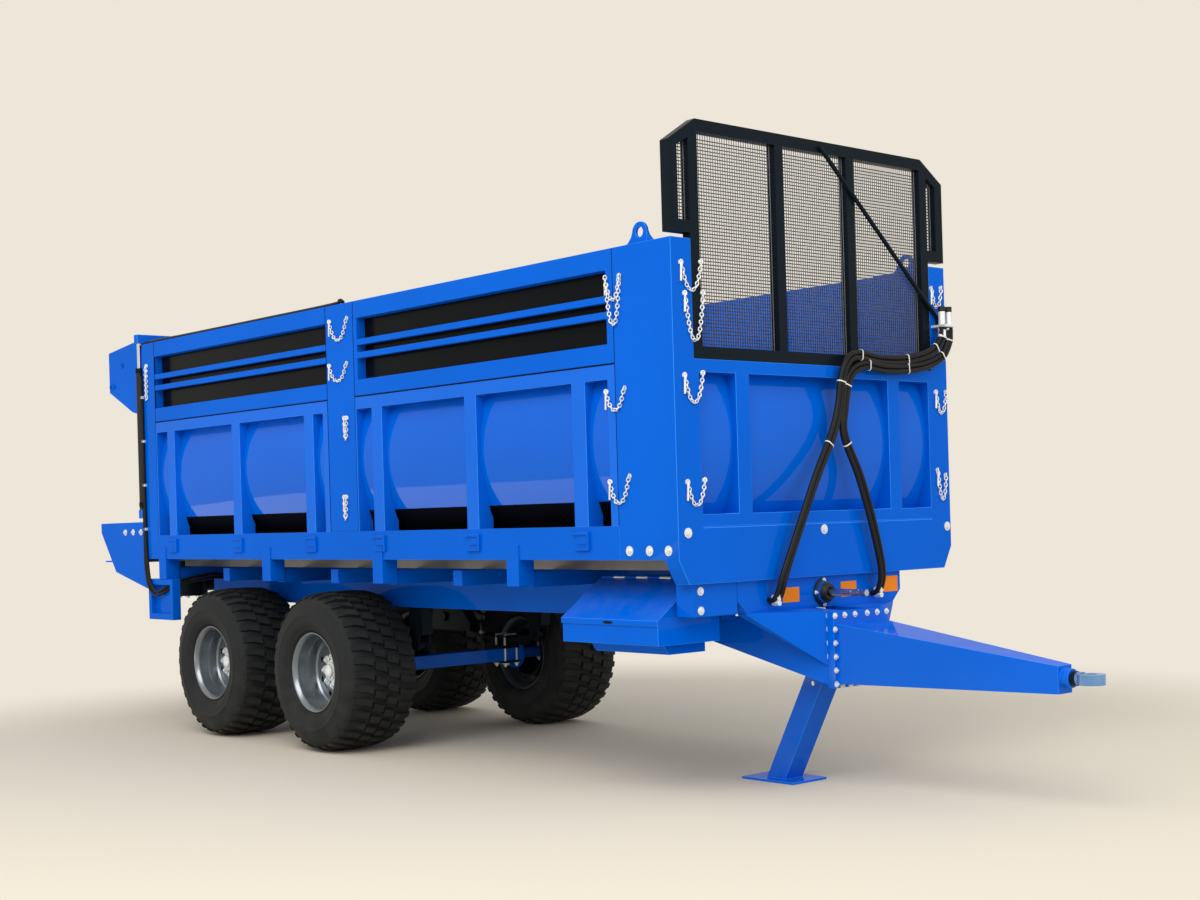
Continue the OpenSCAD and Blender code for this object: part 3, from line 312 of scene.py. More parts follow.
def smooth(mesh, angle=35.0):
    """Shades rounded faces smooth and leaves real edges sharp."""
    mesh.shade_smooth()
    mesh.set_sharp_from_angle(angle=math.radians(angle))
    return mesh


def round_edges(piece, width, edge=None):
    """Grinds a piece's sharp edges to a small round, if it has a width. They get
    their own paler finish if one is given: a painted highlight along the edge."""
    if not width:
        return
    bevel = piece.modifiers.new("rounded_edges", "BEVEL")
    bevel.width = width
    bevel.segments = 2
    bevel.limit_method = "ANGLE"
    bevel.angle_limit = math.radians(40)
    bevel.harden_normals = True
    if edge:
        piece.data.materials.append(edge[1])
        bevel.material = 1


def plain_copy(carrier, name):
    """The mesh that an object's modifiers make; the object itself goes."""
    bpy.context.view_layer.update()
    plain = bpy.data.meshes.new_from_object(
        carrier.evaluated_get(bpy.context.evaluated_depsgraph_get()))
    bpy.data.objects.remove(carrier)
    plain.name = name
    return plain


def combined(name, first, others, operation):
    """A mesh with other meshes welded to it (UNION) or cut from it (DIFFERENCE)."""
    carrier = linked(bpy.data.objects.new(name, first))
    tools = [linked(bpy.data.objects.new(name + "_tool", mesh)) for mesh in others]
    for tool in tools:
        step = carrier.modifiers.new("step", "BOOLEAN")
        step.operation = operation
        step.solver = "EXACT"
        step.object = tool
    plain = plain_copy(carrier, name)
    for tool in tools:
        bpy.data.objects.remove(tool)
    return plain


def ground_copy(names, width, finish, body="root", edge=None):
    """The shape of CAD nodes as one clean mesh, with its edges ground round."""
    names = [names] if isinstance(names, str) else names
    mesh = nodes[names[0]].data.copy()
    if len(names) > 1:
        mesh = combined("weld", mesh, [nodes[name].data.copy() for name in names[1:]],
                        "UNION")
    mesh.name = names[0] + "_ground"
    shape = bmesh.new()
    shape.from_mesh(mesh)
    bmesh.ops.remove_doubles(shape, verts=shape.verts, dist=2e-5)
    bmesh.ops.dissolve_limit(shape, angle_limit=math.radians(0.6),
                             verts=shape.verts, edges=shape.edges)
    shape.to_mesh(mesh)
    shape.free()
    if mesh.attributes.get("custom_normal"):
        mesh.attributes.remove(mesh.attributes["custom_normal"])
    round_edges(add_piece(mesh.name, smooth(mesh), finish, body, names), width, edge)


# Each welded piece with the width of its ground edge, and the paler painted highlight on
# that edge, if any
for names, width, edge in (
        ("chassis", 0.006, painted_highlight_blue), ("bearers", 0.004, None),
        ("front_frame", 0.004, painted_highlight_blue), ("sills", 0.004, painted_highlight_blue),
        ("wall_posts", 0.004, None), ("lower_frames", 0.004, painted_highlight_blue),
        ("extensions", 0.003, None),
        (("front_wall", "front_apron", "front_posts", "front_pillars"), 0.004,
         painted_highlight_blue),
        ("oil_tank", 0.004, None), ("rear_skirts", 0.004, None),
        ("tool_box", 0.003, painted_highlight_blue), ("gate_guides", 0.003, painted_highlight_blue),
        ("beater_housing", 0.004, painted_highlight_blue)):
    ground_copy(names, width, ribbed_blue if names == "lower_frames" else blue,
                edge=edge)
ground_copy("drawbar", 0.008, worn_blue, edge=painted_highlight_blue)
ground_copy("rear_gate", 0.003, blue, "gate", painted_highlight_blue)
ground_copy("tool_lid", 0.0015, blue, "lid", painted_highlight_blue)
ground_copy("stand_leg", 0.003, worn_blue, "leg", painted_highlight_blue)

# ---------------------------------------------------------------- Belly panels
# Between the ribs the walls are 6 mm sheets rolled to a gentle belly. Their long
# smooth faces waver by under a millimetre, as hand-welded sheet does.
hands = (-1, 1)


def at(s, y, z):
    """A point that lies s behind the front wall's face."""
    return Vector((front_x - s, y, z))


def steps(start, end, count):
    return [start + (end - start) * k / count for k in range(count + 1)]


glossy_blue = enamel("blue_paint", "blue_enamel_polished", enamel_blue, dust=0.03,
                     coat=0.42)


def finished(shape, name, angle=35.0):
    """Closes a worked shape: faces outwards, smooth where round, as a mesh."""
    bmesh.ops.remove_doubles(shape, verts=shape.verts, dist=1e-6)
    bmesh.ops.recalc_face_normals(shape, faces=shape.faces)
    mesh = bpy.data.meshes.new(name)
    shape.to_mesh(mesh)
    shape.free()
    return smooth(mesh, angle)


def beaded(name, shape, finish, width=0.0, body="root", instead=()):
    """Adds a worked shape as a piece, with lightly rounded edges or sharp ones."""
    round_edges(add_piece(name, finished(shape, name), finish, body, instead), width)


def bent_sheet(shape, across, along, place):
    """A thin closed sheet over two ranges; place(a, b, depth) gives its points."""
    outer, inner = ([[shape.verts.new(place(a, b, depth)) for a in across]
                     for b in along] for depth in (0.0, sheet_t))
    strips = [pair for skin in (outer, inner) for pair in zip(skin, skin[1:])]
    strips += [([row[k] for row in outer], [row[k] for row in inner]) for k in (0, -1)]
    strips += [(outer[k], inner[k]) for k in (0, -1)]
    for line, mate in strips:
        for k in range(len(line) - 1):
            shape.faces.new((line[k], line[k + 1], mate[k + 1], mate[k]))


sheet_t = 0.006
belly_r = 0.900
belly_in = 0.022
belly_z = 1.715
front_belly_z = belly_z - 0.015
belly_low_z, front_low_z = 1.425, 1.305
seam_z, front_seam_z = 2.070, 2.045
front_half = 0.905
bays = ((0.400, 2.6215), (2.9115, 5.073))


def bulge(a, z, depth, middle_z):
    """How far a belly sheet stands out from the middle of its round, with the waver
    of 0 to 0.9 mm that welding leaves."""
    waver = 0.00045 * (1 + 0.6 * math.sin(7.3 * a + 1.1) * math.sin(9.1 * z)
                       + 0.4 * math.sin(3.1 * a + 5.7 * z))
    return math.sqrt((belly_r - depth - waver) ** 2 - (z - middle_z) ** 2)


def front_point(y, z, depth):
    return at(belly_in + belly_r - bulge(y, z, depth, front_belly_z), y, z)


shape = bmesh.new()
for hand in hands:
    for bay in bays:
        def side_point(s, z, depth, hand=hand):
            out_y = half_w - belly_in - belly_r + bulge(s, z, depth, belly_z)
            return at(s, hand * out_y, z)
        bent_sheet(shape, steps(*bay, 60), steps(belly_low_z, seam_z, 26), side_point)
bent_sheet(shape, steps(-front_half, front_half, 60),
           steps(front_low_z, front_seam_z, 30), front_point)
beaded("belly_sheets", shape, glossy_blue, instead=["belly_panels"])

# ---------------------------------------------------------------- Dark sheets
# Black glossy liner sheets stand behind the slats, blue on their inner side, and
# sheets painted black slope from the walls down to the floor: painted shade there.
sheen_black = (0.45, 0.75, 1.0)
gloss_black = enamel("black_coat", "gloss_black", (0.004, 0.0045, 0.005),
                     gloss=0.18, dust=0.03, coat=0.0, shine=0.06, tint=sheen_black)
# Near-black: painted shade on the sloping sheets under the walls, and the rubber of the
# joint strips
tar_black = enamel("black_coat", "tar_black", (0.003, 0.003, 0.004), gloss=0.6,
                   dust=0.05, coat=0.0, shine=0.03)


def block(shape, s, y, z):
    """A box over ranges of s, y and z."""
    spans = [sorted(span) for span in ([front_x - a for a in s], y, z)]
    low, high = (Vector(corner) for corner in zip(*spans))
    bmesh.ops.create_cube(shape, matrix=Matrix.Translation((low + high) / 2)
                          @ Matrix.Diagonal((*(high - low), 1.0)))


# The sloping sheets under the walls are black as painted shade in the slots there
ground_copy("floor_skirts", 0.0, tar_black)
liner_low, liner_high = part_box("liner_panels")
liner_t = 0.003
for name, outer, finish in (("liner_faces", liner_high.y, gloss_black),
                            ("liner_backs", liner_high.y - liner_t, blue)):
    shape = bmesh.new()
    for hand in hands:
        for bay in bays:
            block(shape, bay, (hand * outer, hand * (outer - liner_t)),
                  (liner_low.z, liner_high.z))
    beaded(name, shape, finish, instead=["liner_panels"])

# A rubber strip in each joint round the removable side extensions
shape = bmesh.new()
for hand in hands:
    span = (hand * (half_w - 0.006), hand * (half_w + 0.0006))
    for bay in bays:
        block(shape, bay, span, (seam_z - 0.003, seam_z + 0.003))
        for s in bay:
            block(shape, (s - 0.0018, s + 0.0018), span, (1.305, 2.612))
beaded("joint_strips", shape, tar_black)

# ---------------------------------------------------------------- Wire screen
# A frame of black square tube with a 16 mm mesh of flat wire spot-welded behind
# it. The round brace and its end lugs are bolted on.
satin_black = enamel("black_paint", "satin_black", (0.0055, 0.009, 0.013),
                     gloss=0.34, dust=0.02, coat=0.0, shine=0.08, tint=sheen_black)


def metal(slot, name, darker, paler, scale, smoothest, roughest, metallic=1.0,
          dust=0.0):
    """Bare, plated or polished metal that varies in tone and polish."""
    material, surface, shader = new_surface(name)
    tone = noise(surface, scale, 4.0)
    base = mix_colour(surface, tone, darker, paler)
    rough = remap(surface, tone, 0.0, 1.0, smoothest, roughest)
    if dust:
        dusty = group_out(surface, dust_mask, Amount=dust, Splash_Height=1.4)
        base = mix_colour(surface, dusty, base, dust_colour)
        rough = calc(surface, "MAXIMUM", rough, dusty)
        metallic = calc(surface, "SUBTRACT", metallic, dusty, use_clamp=True)
    feed(shader, {"Base Color": base, "Roughness": rough, "Metallic": metallic})
    return slot, material


wire_steel = metal("wire_steel", "wire_steel", (0.06, 0.065, 0.075),
                   (0.14, 0.15, 0.165), 30.0, 0.35, 0.6, metallic=0.9)


def new_tree(name, *inputs):
    """A Geometry Nodes tree: its geometry comes first and its finish last."""
    return new_group(name, "GeometryNodeTree", [("Geometry", "Geometry", None), *inputs,
                     ("Material", "Material", None)], ("Geometry", "Geometry"))


def end_tree(tree, given, end, geometry):
    """Every tree ends in plain faces with their finish."""
    plain = out(tree, "GeometryNodeRealizeInstances", {0: geometry})
    feed(end, {0: out(tree, "GeometryNodeSetMaterial", {0: plain,
                      "Material": given["Material"]})})


def grown(name, tree, mesh, material, angle=35.0, **inputs):
    """The plain mesh that a tree makes of a mesh, with its inputs set by name."""
    carrier = linked(bpy.data.objects.new(name, mesh))
    growth = carrier.modifiers.new("growth", "NODES")
    growth.node_group = tree
    inputs["Material"] = material
    for item in tree.interface.items_tree:
        if item.in_out == "INPUT" and item.name in inputs:
            growth[item.identifier] = inputs[item.name]
    return smooth(plain_copy(carrier, name), angle)


def circle(tree, sides, radius):
    return out(tree, "GeometryNodeCurvePrimitiveCircle", {"Resolution": sides,
               "Radius": radius})


# Round rods along every line of a mesh: wires, bars and hoses
rods_tree, given, end = new_tree("rods_along_lines", ("Radius", "Float", 0.001),
                                 ("Sides", "Int", 6))
lines = out(rods_tree, "GeometryNodeMeshToCurve", {0: given["Geometry"]})
end_tree(rods_tree, given, end, out(rods_tree, "GeometryNodeCurveToMesh", {
    "Curve": lines, "Fill Caps": True,
    "Profile Curve": circle(rods_tree, given["Sides"], given["Radius"])}))


def line_mesh(name, lines):
    """A mesh of open lines, each a list of points."""
    mesh = bpy.data.meshes.new(name)
    points, edges = [], []
    for line in lines:
        edges += [(len(points) + k, len(points) + k + 1)
                  for k in range(len(line) - 1)]
        points += [tuple(p) for p in line]
    mesh.from_pydata(points, edges, [])
    return mesh


def rods(name, lines, radius, sides, finish, instead=()):
    """Round rods swept along lines, as one piece."""
    add_piece(name, grown(name, rods_tree, line_mesh(name, lines), finish[1],
                          Radius=radius, Sides=sides), finish, instead=instead)


box_top_z = 2.615
tube_w, tube_d = 0.058, 0.050
screen_half = half_w - 0.130
wing_y = half_w - tube_w
wire_pitch, wire_r = 0.016, 0.0026
wing_low_z = box_top_z + 0.025 + tube_w
screen_top_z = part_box("screen_frame")[1].z
wing_top = screen_top_z - 0.134
z_low, z_high = 2.065 + tube_w, screen_top_z - tube_w
ground_copy("screen_frame", 0.004, satin_black)
wires = []
for k in range(int(2 * wing_y / wire_pitch) + 1):
    y = -wing_y + k * wire_pitch
    low = wing_low_z if abs(y) > screen_half else z_low
    top = z_high - max(0.0, abs(y) - screen_half + 0.03) * 0.6
    wires.append([at(tube_d / 2, y, low), at(tube_d / 2, y, top)])
for k in range(1, int((z_high - z_low) / wire_pitch)):
    z = z_low + k * wire_pitch
    reach = wing_y if z > wing_low_z else screen_half
    if z > wing_top:
        reach = min(reach, wing_y - (z - wing_top) * 1.4)
    wires.append([at(tube_d / 2 + 2 * wire_r, end, z) for end in (-reach, reach)])
rods("wire_cloth", wires, wire_r, 4, wire_steel, ["screen_mesh"])

# ---------------------------------------------------------------- Wheels
# Wide flotation tyres on deep silver rims. A rim is rolled from one strip, with a
# pressed disc welded inside; eight nuts hold it on a galvanised hub.
full_turn = 2 * math.pi
zinc = metal("zinc", "zinc_plate", (0.60, 0.62, 0.62), (0.90, 0.92, 0.92),
             120.0, 0.24, 0.42, metallic=0.4)

# Silver lacquer, with road dust low in the dish
rim_lacquer, surface, shader = new_surface("rim_lacquer")
dusty = group_out(surface, dust_mask, Amount=0.2, Splash_Height=0.5)
base = mix_colour(surface, noise(surface, 900.0), (0.15, 0.175, 0.20),
                  (0.27, 0.30, 0.335))
feed(shader, {"Base Color": mix_colour(surface, dusty, base, dust_colour),
     "Metallic": calc(surface, "SUBTRACT", 0.85, dusty, use_clamp=True),
     "Roughness": remap(surface, dusty, 0.0, 1.0, 0.30, 0.8),
     "Coat Weight": 0.5, "Coat Roughness": 0.12})
rim_silver = ("rim_silver", rim_lacquer)

# Black tyre rubber, greyed by dust between the lugs and along the shoulders
rubber, surface, shader = new_surface("tyre_rubber")
grain = noise(surface, 60.0, 5.0)
dusty = group_out(surface, dust_mask, Amount=0.2, Scale=9.0, Splash_Height=0.7)
base = mix_colour(surface, grain, (0.007, 0.0082, 0.0088),
                  (0.018, 0.0205, 0.0215))
feed(shader, {"Base Color": mix_colour(surface, dusty, base,
                                       (0.13, 0.122, 0.108)),
     "Roughness": remap(surface, grain, 0.0, 1.0, 0.55, 0.8),
     "Specular IOR Level": 0.2,
     "Normal": out(surface, "ShaderNodeBump", {"Strength": 0.25, "Distance": 0.001,
                   "Height": grain})})
tyre_rubber = ("tyre_rubber", rubber)


def turned(shape, profile, place=(0, 0, 0), axis=(0, 0, 1), count=64, closed=True):
    """Spins [radius, height] points round an axis that starts at a place."""
    turn = Vector((0, 0, 1)).rotation_difference(Vector(axis)).to_matrix()
    rings = []
    for angle in steps(0, full_turn, count)[:-1]:
        rings.append([shape.verts.new(Vector(place) + turn @ Vector(
            (r * math.cos(angle), r * math.sin(angle), h))) for r, h in profile])
    last = len(profile) if closed else len(profile) - 1
    for k in range(count):
        ring, mate = rings[k], rings[(k + 1) % count]
        for i in range(last):
            j = (i + 1) % len(profile)
            shape.faces.new((ring[i], mate[i], mate[j], ring[j]))


def bar(shape, start, end, r, sides=24):
    """A round bar between two points."""
    start, end = Vector(start), Vector(end)
    turn = Vector((0, 0, 1)).rotation_difference(end - start).to_matrix().to_4x4()
    bmesh.ops.create_cone(shape, cap_ends=True, segments=sides, radius1=r, radius2=r,
                          depth=(end - start).length,
                          matrix=Matrix.Translation((start + end) / 2) @ turn)


def on_circle(r, angle):
    return r * math.cos(angle), r * math.sin(angle)


def spaced_copies(tree, points, shape, rotation):
    return out(tree, "GeometryNodeInstanceOnPoints", {"Points": points,
               "Instance": shape, "Rotation": rotation})


# Hexagon nuts and bolt heads with washers, one on each point of a mesh, standing
# along the point's own direction
hex_tree, given, end = new_tree("hex_fasteners", ("Flats", "Float", 0.024),
                                ("Height", "Float", 0.013), ("Stud", "Float", 0.006))


def scaled(tree, value, factor, offset=0.0):
    return calc(tree, "MULTIPLY_ADD", value, factor, offset)


flats, height = given["Flats"], given["Height"]
parts = put(hex_tree, "GeometryNodeJoinGeometry")
for sides, radius, high in ((16, scaled(hex_tree, flats, 0.92),
                             scaled(hex_tree, flats, 0.14)),
                            (6, scaled(hex_tree, flats, 0.577), height),
                            (12, scaled(hex_tree, flats, 0.30),
                             calc(hex_tree, "ADD", height, given["Stud"]))):
    disc = out(hex_tree, "GeometryNodeMeshCylinder", {"Vertices": sides,
               "Radius": radius, "Depth": high})
    lift = out(hex_tree, "ShaderNodeCombineXYZ", {2: scaled(hex_tree, high, 0.5)})
    feed(parts, {0: out(hex_tree, "GeometryNodeTransform", {0: disc,
                        "Translation": lift})})
way = out(hex_tree, "GeometryNodeInputNamedAttribute", {"Name": "way"},
          data_type="FLOAT_VECTOR")
stand = out(hex_tree, "FunctionNodeAlignRotationToVector", {"Vector": way}, axis="Z")
end_tree(hex_tree, given, end, spaced_copies(hex_tree, given["Geometry"],
         parts.outputs[0], stand))

# Copies of a shape set round a wheel, each turned with its place on the ring
ring_tree, given, end = new_tree("ring_of_copies", ("Count", "Int", 36),
                                 ("Turn", "Float", 0.0), ("Shape", "Object", None))
ring = out(ring_tree, "GeometryNodeMeshCircle", {"Vertices": given["Count"],
           "Radius": 1.0})
angle = scaled(ring_tree, out(ring_tree, "GeometryNodeInputIndex"),
               calc(ring_tree, "DIVIDE", full_turn, given["Count"]), given["Turn"])
centred = out(ring_tree, "GeometryNodeSetPosition", {0: ring,
              "Position": out(ring_tree, "ShaderNodeCombineXYZ")})
copy = put(ring_tree, "GeometryNodeObjectInfo", {"Object": given["Shape"]})
end_tree(ring_tree, given, end, spaced_copies(ring_tree, centred,
         copy.outputs["Geometry"], out(ring_tree, "ShaderNodeCombineXYZ", {2: angle})))


def fasteners(name, places, sizes, finish=zinc, body="root"):
    """Hexagon heads on (place, direction) pairs; sizes are the width over flats,
    the height and what a stud stands out."""
    mesh = bpy.data.meshes.new(name)
    mesh.from_pydata([tuple(place) for place, way in places], [], [])
    ways = mesh.attributes.new("way", "FLOAT_VECTOR", "POINT")
    for item, (place, way) in zip(ways.data, places):
        item.vector = way
    mesh = grown(name, hex_tree, mesh, finish[1],
                 **dict(zip(("Flats", "Height", "Stud"), sizes)))
    add_piece(name, mesh, finish, body)


def ring_of(name, shape_mesh, count, turn, material):
    """The plain mesh of a shape repeated round the Z axis."""
    pattern = linked(bpy.data.objects.new(name + "_pattern", shape_mesh))
    made = grown(name, ring_tree, bpy.data.meshes.new(name), material, Count=count,
                 Turn=turn, Shape=pattern)
    bpy.data.objects.remove(pattern)
    return made


axle_places = (3.155, 4.391)
track_half = 0.785
axle_z = 0.475
tyre_r = 0.475
lug_foot_r = 0.439
lug_count = 36
hole_count = 8
hand_hole_ring, hand_hole_r = 0.155, 0.020
wheel_nut_ring, disc_h = 0.0875, 0.075

# Outlines as (radius, height); heights run outwards from the tyre's middle
carcass_half = [(0.226, 0.196), (0.240, 0.207), (0.2505, 0.2165), (0.256, 0.2245),
    (0.262, 0.2245), (0.268, 0.230), (0.290, 0.2425), (0.315, 0.2475), (0.336, 0.2485),
    (0.338, 0.2498), (0.346, 0.2498), (0.348, 0.2482), (0.375, 0.2440), (0.400, 0.236),
    (0.420, 0.226), (0.436, 0.211), (0.4445, 0.192), (0.449, 0.150), (0.4515, 0.08),
    (0.452, 0.0)]
carcass = carcass_half + [(r, -h) for r, h in reversed(carcass_half[:-1])]
rim_half = [(0.2135, 0.0), (0.2135, 0.085), (0.217, 0.097), (0.217, 0.180),
    (0.226, 0.198), (0.2345, 0.2055), (0.237, 0.209), (0.2365, 0.2135),
    (0.233, 0.215), (0.2285, 0.2125), (0.2225, 0.204), (0.2140, 0.1935),
    (0.2115, 0.186), (0.2108, 0.135), (0.2085, 0.127), (0.2060, 0.121),
    (0.2045, 0.112), (0.2045, 0.0)]
rim_outline = rim_half + [(r, -h) for r, h in reversed(rim_half[1:-1])]
disc_outline = [(0.2042, 0.070), (0.196, 0.060), (0.180, 0.057), (0.150, 0.061),
    (0.128, 0.070), (0.118, 0.075), (0.052, 0.075), (0.052, 0.065), (0.116, 0.065),
    (0.126, 0.060), (0.148, 0.051), (0.180, 0.047), (0.2042, 0.050)]
hub_outline = [(0.0, 0.120), (0.020, 0.1195), (0.034, 0.117), (0.040, 0.112),
    (0.0415, 0.098), (0.049, 0.097), (0.0505, 0.078), (0.068, 0.077),
    (0.069, 0.070), (0.069, -0.030), (0.040, -0.035), (0.0, -0.035)]
drum_outline = [(0.069, -0.035), (0.150, -0.037), (0.156, -0.043), (0.156, -0.150),
    (0.162, -0.152), (0.162, -0.165), (0.146, -0.165), (0.146, -0.048), (0.069, -0.046)]

# Outlines of the two rows of lugs as (angle, height)
shoulder_lug = [(-0.062, 0.094), (0.028, 0.094), (0.056, 0.150), (0.060, 0.214),
                (-0.016, 0.214), (-0.026, 0.150)]
centre_lug = [(-0.060, 0.006), (0.030, 0.006), (0.066, 0.078), (-0.022, 0.078)]


def tread_r(height):
    """The radius of the lugs' tops across the tread."""
    return tyre_r - 0.0004 - 0.012 * (abs(height) / 0.2) ** 2.6 \
        - 0.02 * max(0.0, (abs(height) - 0.19) / 0.04)


def lug(outline):
    """One rubber block on the tread, a little wider at its foot and open there."""
    shape = bmesh.new()
    top = [shape.verts.new((*on_circle(tread_r(h), angle), h)) for angle, h in outline]
    low = [shape.verts.new((*on_circle(lug_foot_r, angle * 1.06), h))
           for angle, h in outline]
    shape.faces.new(top)
    for k in range(len(outline)):
        j = (k + 1) % len(outline)
        shape.faces.new((top[k], low[k], low[j], top[j]))
    return finished(shape, "lug")


def spun(name, outline, count, angle=35.0, closed=True):
    shape = bmesh.new()
    turned(shape, outline, count=count, closed=closed)
    return finished(shape, name, angle)


for axle, s in zip(("front", "rear"), axle_places):
    for side, hand in (("right", -1), ("left", 1)):
        label = f"{axle}_{side}"
        body = "wheel_" + label
        wheel_axes = Matrix(((1, 0, 0), (0, 0, hand), (0, -hand, 0))).to_4x4()
        where = Matrix.Translation(at(s, hand * track_half, axle_z)) @ wheel_axes

        def wheel_piece(name, mesh, finish, instead=()):
            mesh.transform(where)
            if where.determinant() < 0:
                mesh.flip_normals()
            add_piece(name, mesh, finish, body, instead)

        wheel_piece(f"rim_{label}_rolled", spun("rim_rolled", rim_outline, 96),
                    rim_silver, ["rim_" + label])
        shape = bmesh.new()
        for k in range(hole_count):
            x, y = on_circle(hand_hole_ring, full_turn * (k + 0.5) / hole_count)
            bar(shape, (x, y, 0.03), (x, y, 0.09), hand_hole_r, 20)
        disc = combined("rim_disc", spun("rim_disc", disc_outline, 72),
                        [finished(shape, "hand_holes")], "DIFFERENCE")
        wheel_piece("disc_" + label, smooth(disc), rim_silver)
        wheel_piece("hub_" + label, spun("hub", hub_outline, 40, closed=False), zinc)
        wheel_piece("brake_drum_" + label, spun("drum", drum_outline, 64), satin_black)
        fasteners("wheel_nuts_" + label, [(where @ Vector((*on_circle(wheel_nut_ring, a),
                  disc_h - 0.001)), (0, hand, 0)) for a in steps(0, full_turn, 8)[:-1]],
                  (0.027, 0.016, 0.007), body=body)
        wheel_piece(f"tyre_{label}_carcass", spun("tyre", carcass, 108, 50.0),
                    tyre_rubber, ["tyre_" + label])
        for row, outline, turn in (("shoulder", shoulder_lug, 0.0),
                                   ("centre", centre_lug, 0.085)):
            tread = ring_of("tread", lug(outline), lug_count, turn, rubber)
            mate = tread.copy()
            mate.transform(Matrix.Rotation(math.pi / lug_count, 4, "Z")
                           @ Matrix.Rotation(math.pi, 4, "X"))
            wheel_piece(f"tread_{row}_outer_{label}", tread, tyre_rubber)
            wheel_piece(f"tread_{row}_inner_{label}", mate, tyre_rubber)

# ---------------------------------------------------------------- Springs and axles
# Each axle hangs on two packs of four leaves, clamped by U-bolts. The packs meet
# at a rocker between the axles and end in hangers under the chassis beams.


def prism(shape, rings):
    """Closes two rings of points, one over the other, to a solid."""
    first, second = ([shape.verts.new(point) for point in ring] for ring in rings)
    shape.faces.new(first)
    shape.faces.new(second)
    for k in range(len(first)):
        j = (k + 1) % len(first)
        shape.faces.new((first[k], first[j], second[j], second[k]))


def plate(shape, outline, start, end, across=False):
    """An outline drawn out to a plate: (s, z) points between two Y values or,
    across the trailer, (y, z) points between two places s."""
    prism(shape, [[at(depth, a, b) if across else at(a, depth, b) for a, b in outline]
                  for depth in (start, end)])


beam_y, beam_low_z = 0.455, 0.840
leaf_half_w, leaf_t = 0.038, 0.012
spring_z = 0.515
spring_end = 0.330
clamp_half = 0.060
rocker_half = 0.285
ground_copy("axles", 0.004, blue)
shape = bmesh.new()
bolts, nuts = [], []
mid_s = sum(axle_places) / 2
for hand in hands:
    inner, outer = sorted((hand * (beam_y - leaf_half_w), hand * (beam_y + leaf_half_w)))
    for s in axle_places:
        for k in range(4):
            reach = spring_end - 0.080 * k
            rise = 0.031 - 0.009 * k
            base_z = spring_z + 0.0595 - 0.013 * k
            line = []
            for along in steps(-reach, reach, 22):
                far = max(0.0, abs(along) - clamp_half) / (reach - clamp_half)
                line.append((s + along, base_z + rise * far ** 1.5))
            plate(shape, line + [(a, z + leaf_t) for a, z in reversed(line)],
                  inner, outer)
        for clip in (-0.19, 0.19):
            block(shape, (s + clip - 0.012, s + clip + 0.012),
                  (inner - 0.004, outer + 0.004), (spring_z + 0.030, spring_z + 0.094))
        # Spring seat, the plate over the leaves and the U-bolts' plate under the axle
        for low, high, spread in ((spring_z, 0.535, 0.065), (0.5865, 0.596, 0.062),
                                  (0.421, 0.434, 0.062)):
            block(shape, (s - spread, s + spread), (inner - 0.018, outer + 0.018),
                  (low, high))
        for along in (-0.045, 0.045):
            low, high = inner - 0.009, outer + 0.009
            bolts.append([at(s + along, y, z) for y, z in (
                (low, 0.404), (low, 0.590), (low + 0.003, 0.600), (low + 0.012, 0.604),
                (high - 0.012, 0.604), (high - 0.003, 0.600), (high, 0.590),
                (high, 0.404))])
            nuts += [(at(s + along, y, 0.421), (0, 0, -1)) for y in (low, high)]
    for end_s, sign in zip(axle_places, hands):
        pin_s = end_s + sign * spring_end
        web_s = pin_s + sign * 0.075
        hanger = [(pin_s + sign * 0.020 - 0.070, beam_low_z),
                  (pin_s + sign * 0.020 + 0.070, beam_low_z),
                  (pin_s + 0.038, spring_z + 0.062), (pin_s - 0.038, spring_z + 0.062)]
        for y in (inner - 0.004, outer - 0.006):
            plate(shape, hanger, y, y + 0.010)
        block(shape, (web_s - 0.005, web_s + 0.005), (inner, outer),
              (spring_z + 0.16, beam_low_z))
        pin_z = spring_z + 0.102
        for stand_out, r in ((0.012, 0.016), (-0.002, 0.026)):
            bar(shape, at(pin_s, inner - stand_out, pin_z),
                at(pin_s, outer + stand_out, pin_z), r)
    rocker = [(mid_s + along, spring_z + up) for along, up in (
        (-rocker_half, 0.150), (-0.125, beam_low_z - spring_z),
        (0.125, beam_low_z - spring_z), (rocker_half, 0.150), (rocker_half, 0.100),
        (-rocker_half, 0.100))]
    for y in (inner - 0.004, outer - 0.008):
        plate(shape, rocker, y, y + 0.012)
    for half, high in ((rocker_half, spring_z + 0.112), (0.012, beam_low_z)):
        block(shape, (mid_s - half, mid_s + half), (inner, outer),
              (spring_z + 0.101, high))
    rocker_pin_z = spring_z + 0.190
    bar(shape, at(mid_s, inner - 0.020, rocker_pin_z),
        at(mid_s, outer + 0.020, rocker_pin_z), 0.034)
    for s in (mid_s - 0.24, mid_s + 0.24):
        nuts.append((at(s, hand * (beam_y + leaf_half_w + 0.003), spring_z + 0.127),
                     (0, hand, 0)))
beaded("leaf_springs", shape, satin_black, 0.0015, instead=["springs"])
rods("u_bolts", bolts, 0.007, 10, zinc)
fasteners("spring_nuts", nuts, (0.024, 0.014, 0.010))

# ---------------------------------------------------------------- Drawbar and stand
# The box-section drawbar is bolted on by a flange, so it can be swapped. Its
# turning eye is machined steel; the stand's cylinder has a chromed rod.
blued_steel = metal("bare_steel", "blued_steel", (0.05, 0.17, 0.42),
                    (0.22, 0.38, 0.62), 9.0, 0.16, 0.34, metallic=0.5)
chrome = metal("chrome_rod", "chromed_rod", (0.72, 0.73, 0.76),
               (0.78, 0.79, 0.82), 25.0, 0.05, 0.12)


def weld_lines(name, lines, radius):
    """Fillet welds along lines, rippled as they were laid."""
    mesh = grown(name, rods_tree, line_mesh(name, lines), blue[1], Radius=radius,
                 Sides=7)
    for corner in mesh.vertices:
        beat = math.sin(1100 * (corner.co.x + corner.co.y + corner.co.z))
        corner.co += corner.normal * radius * 0.12 * beat
    add_piece(name, mesh, blue)


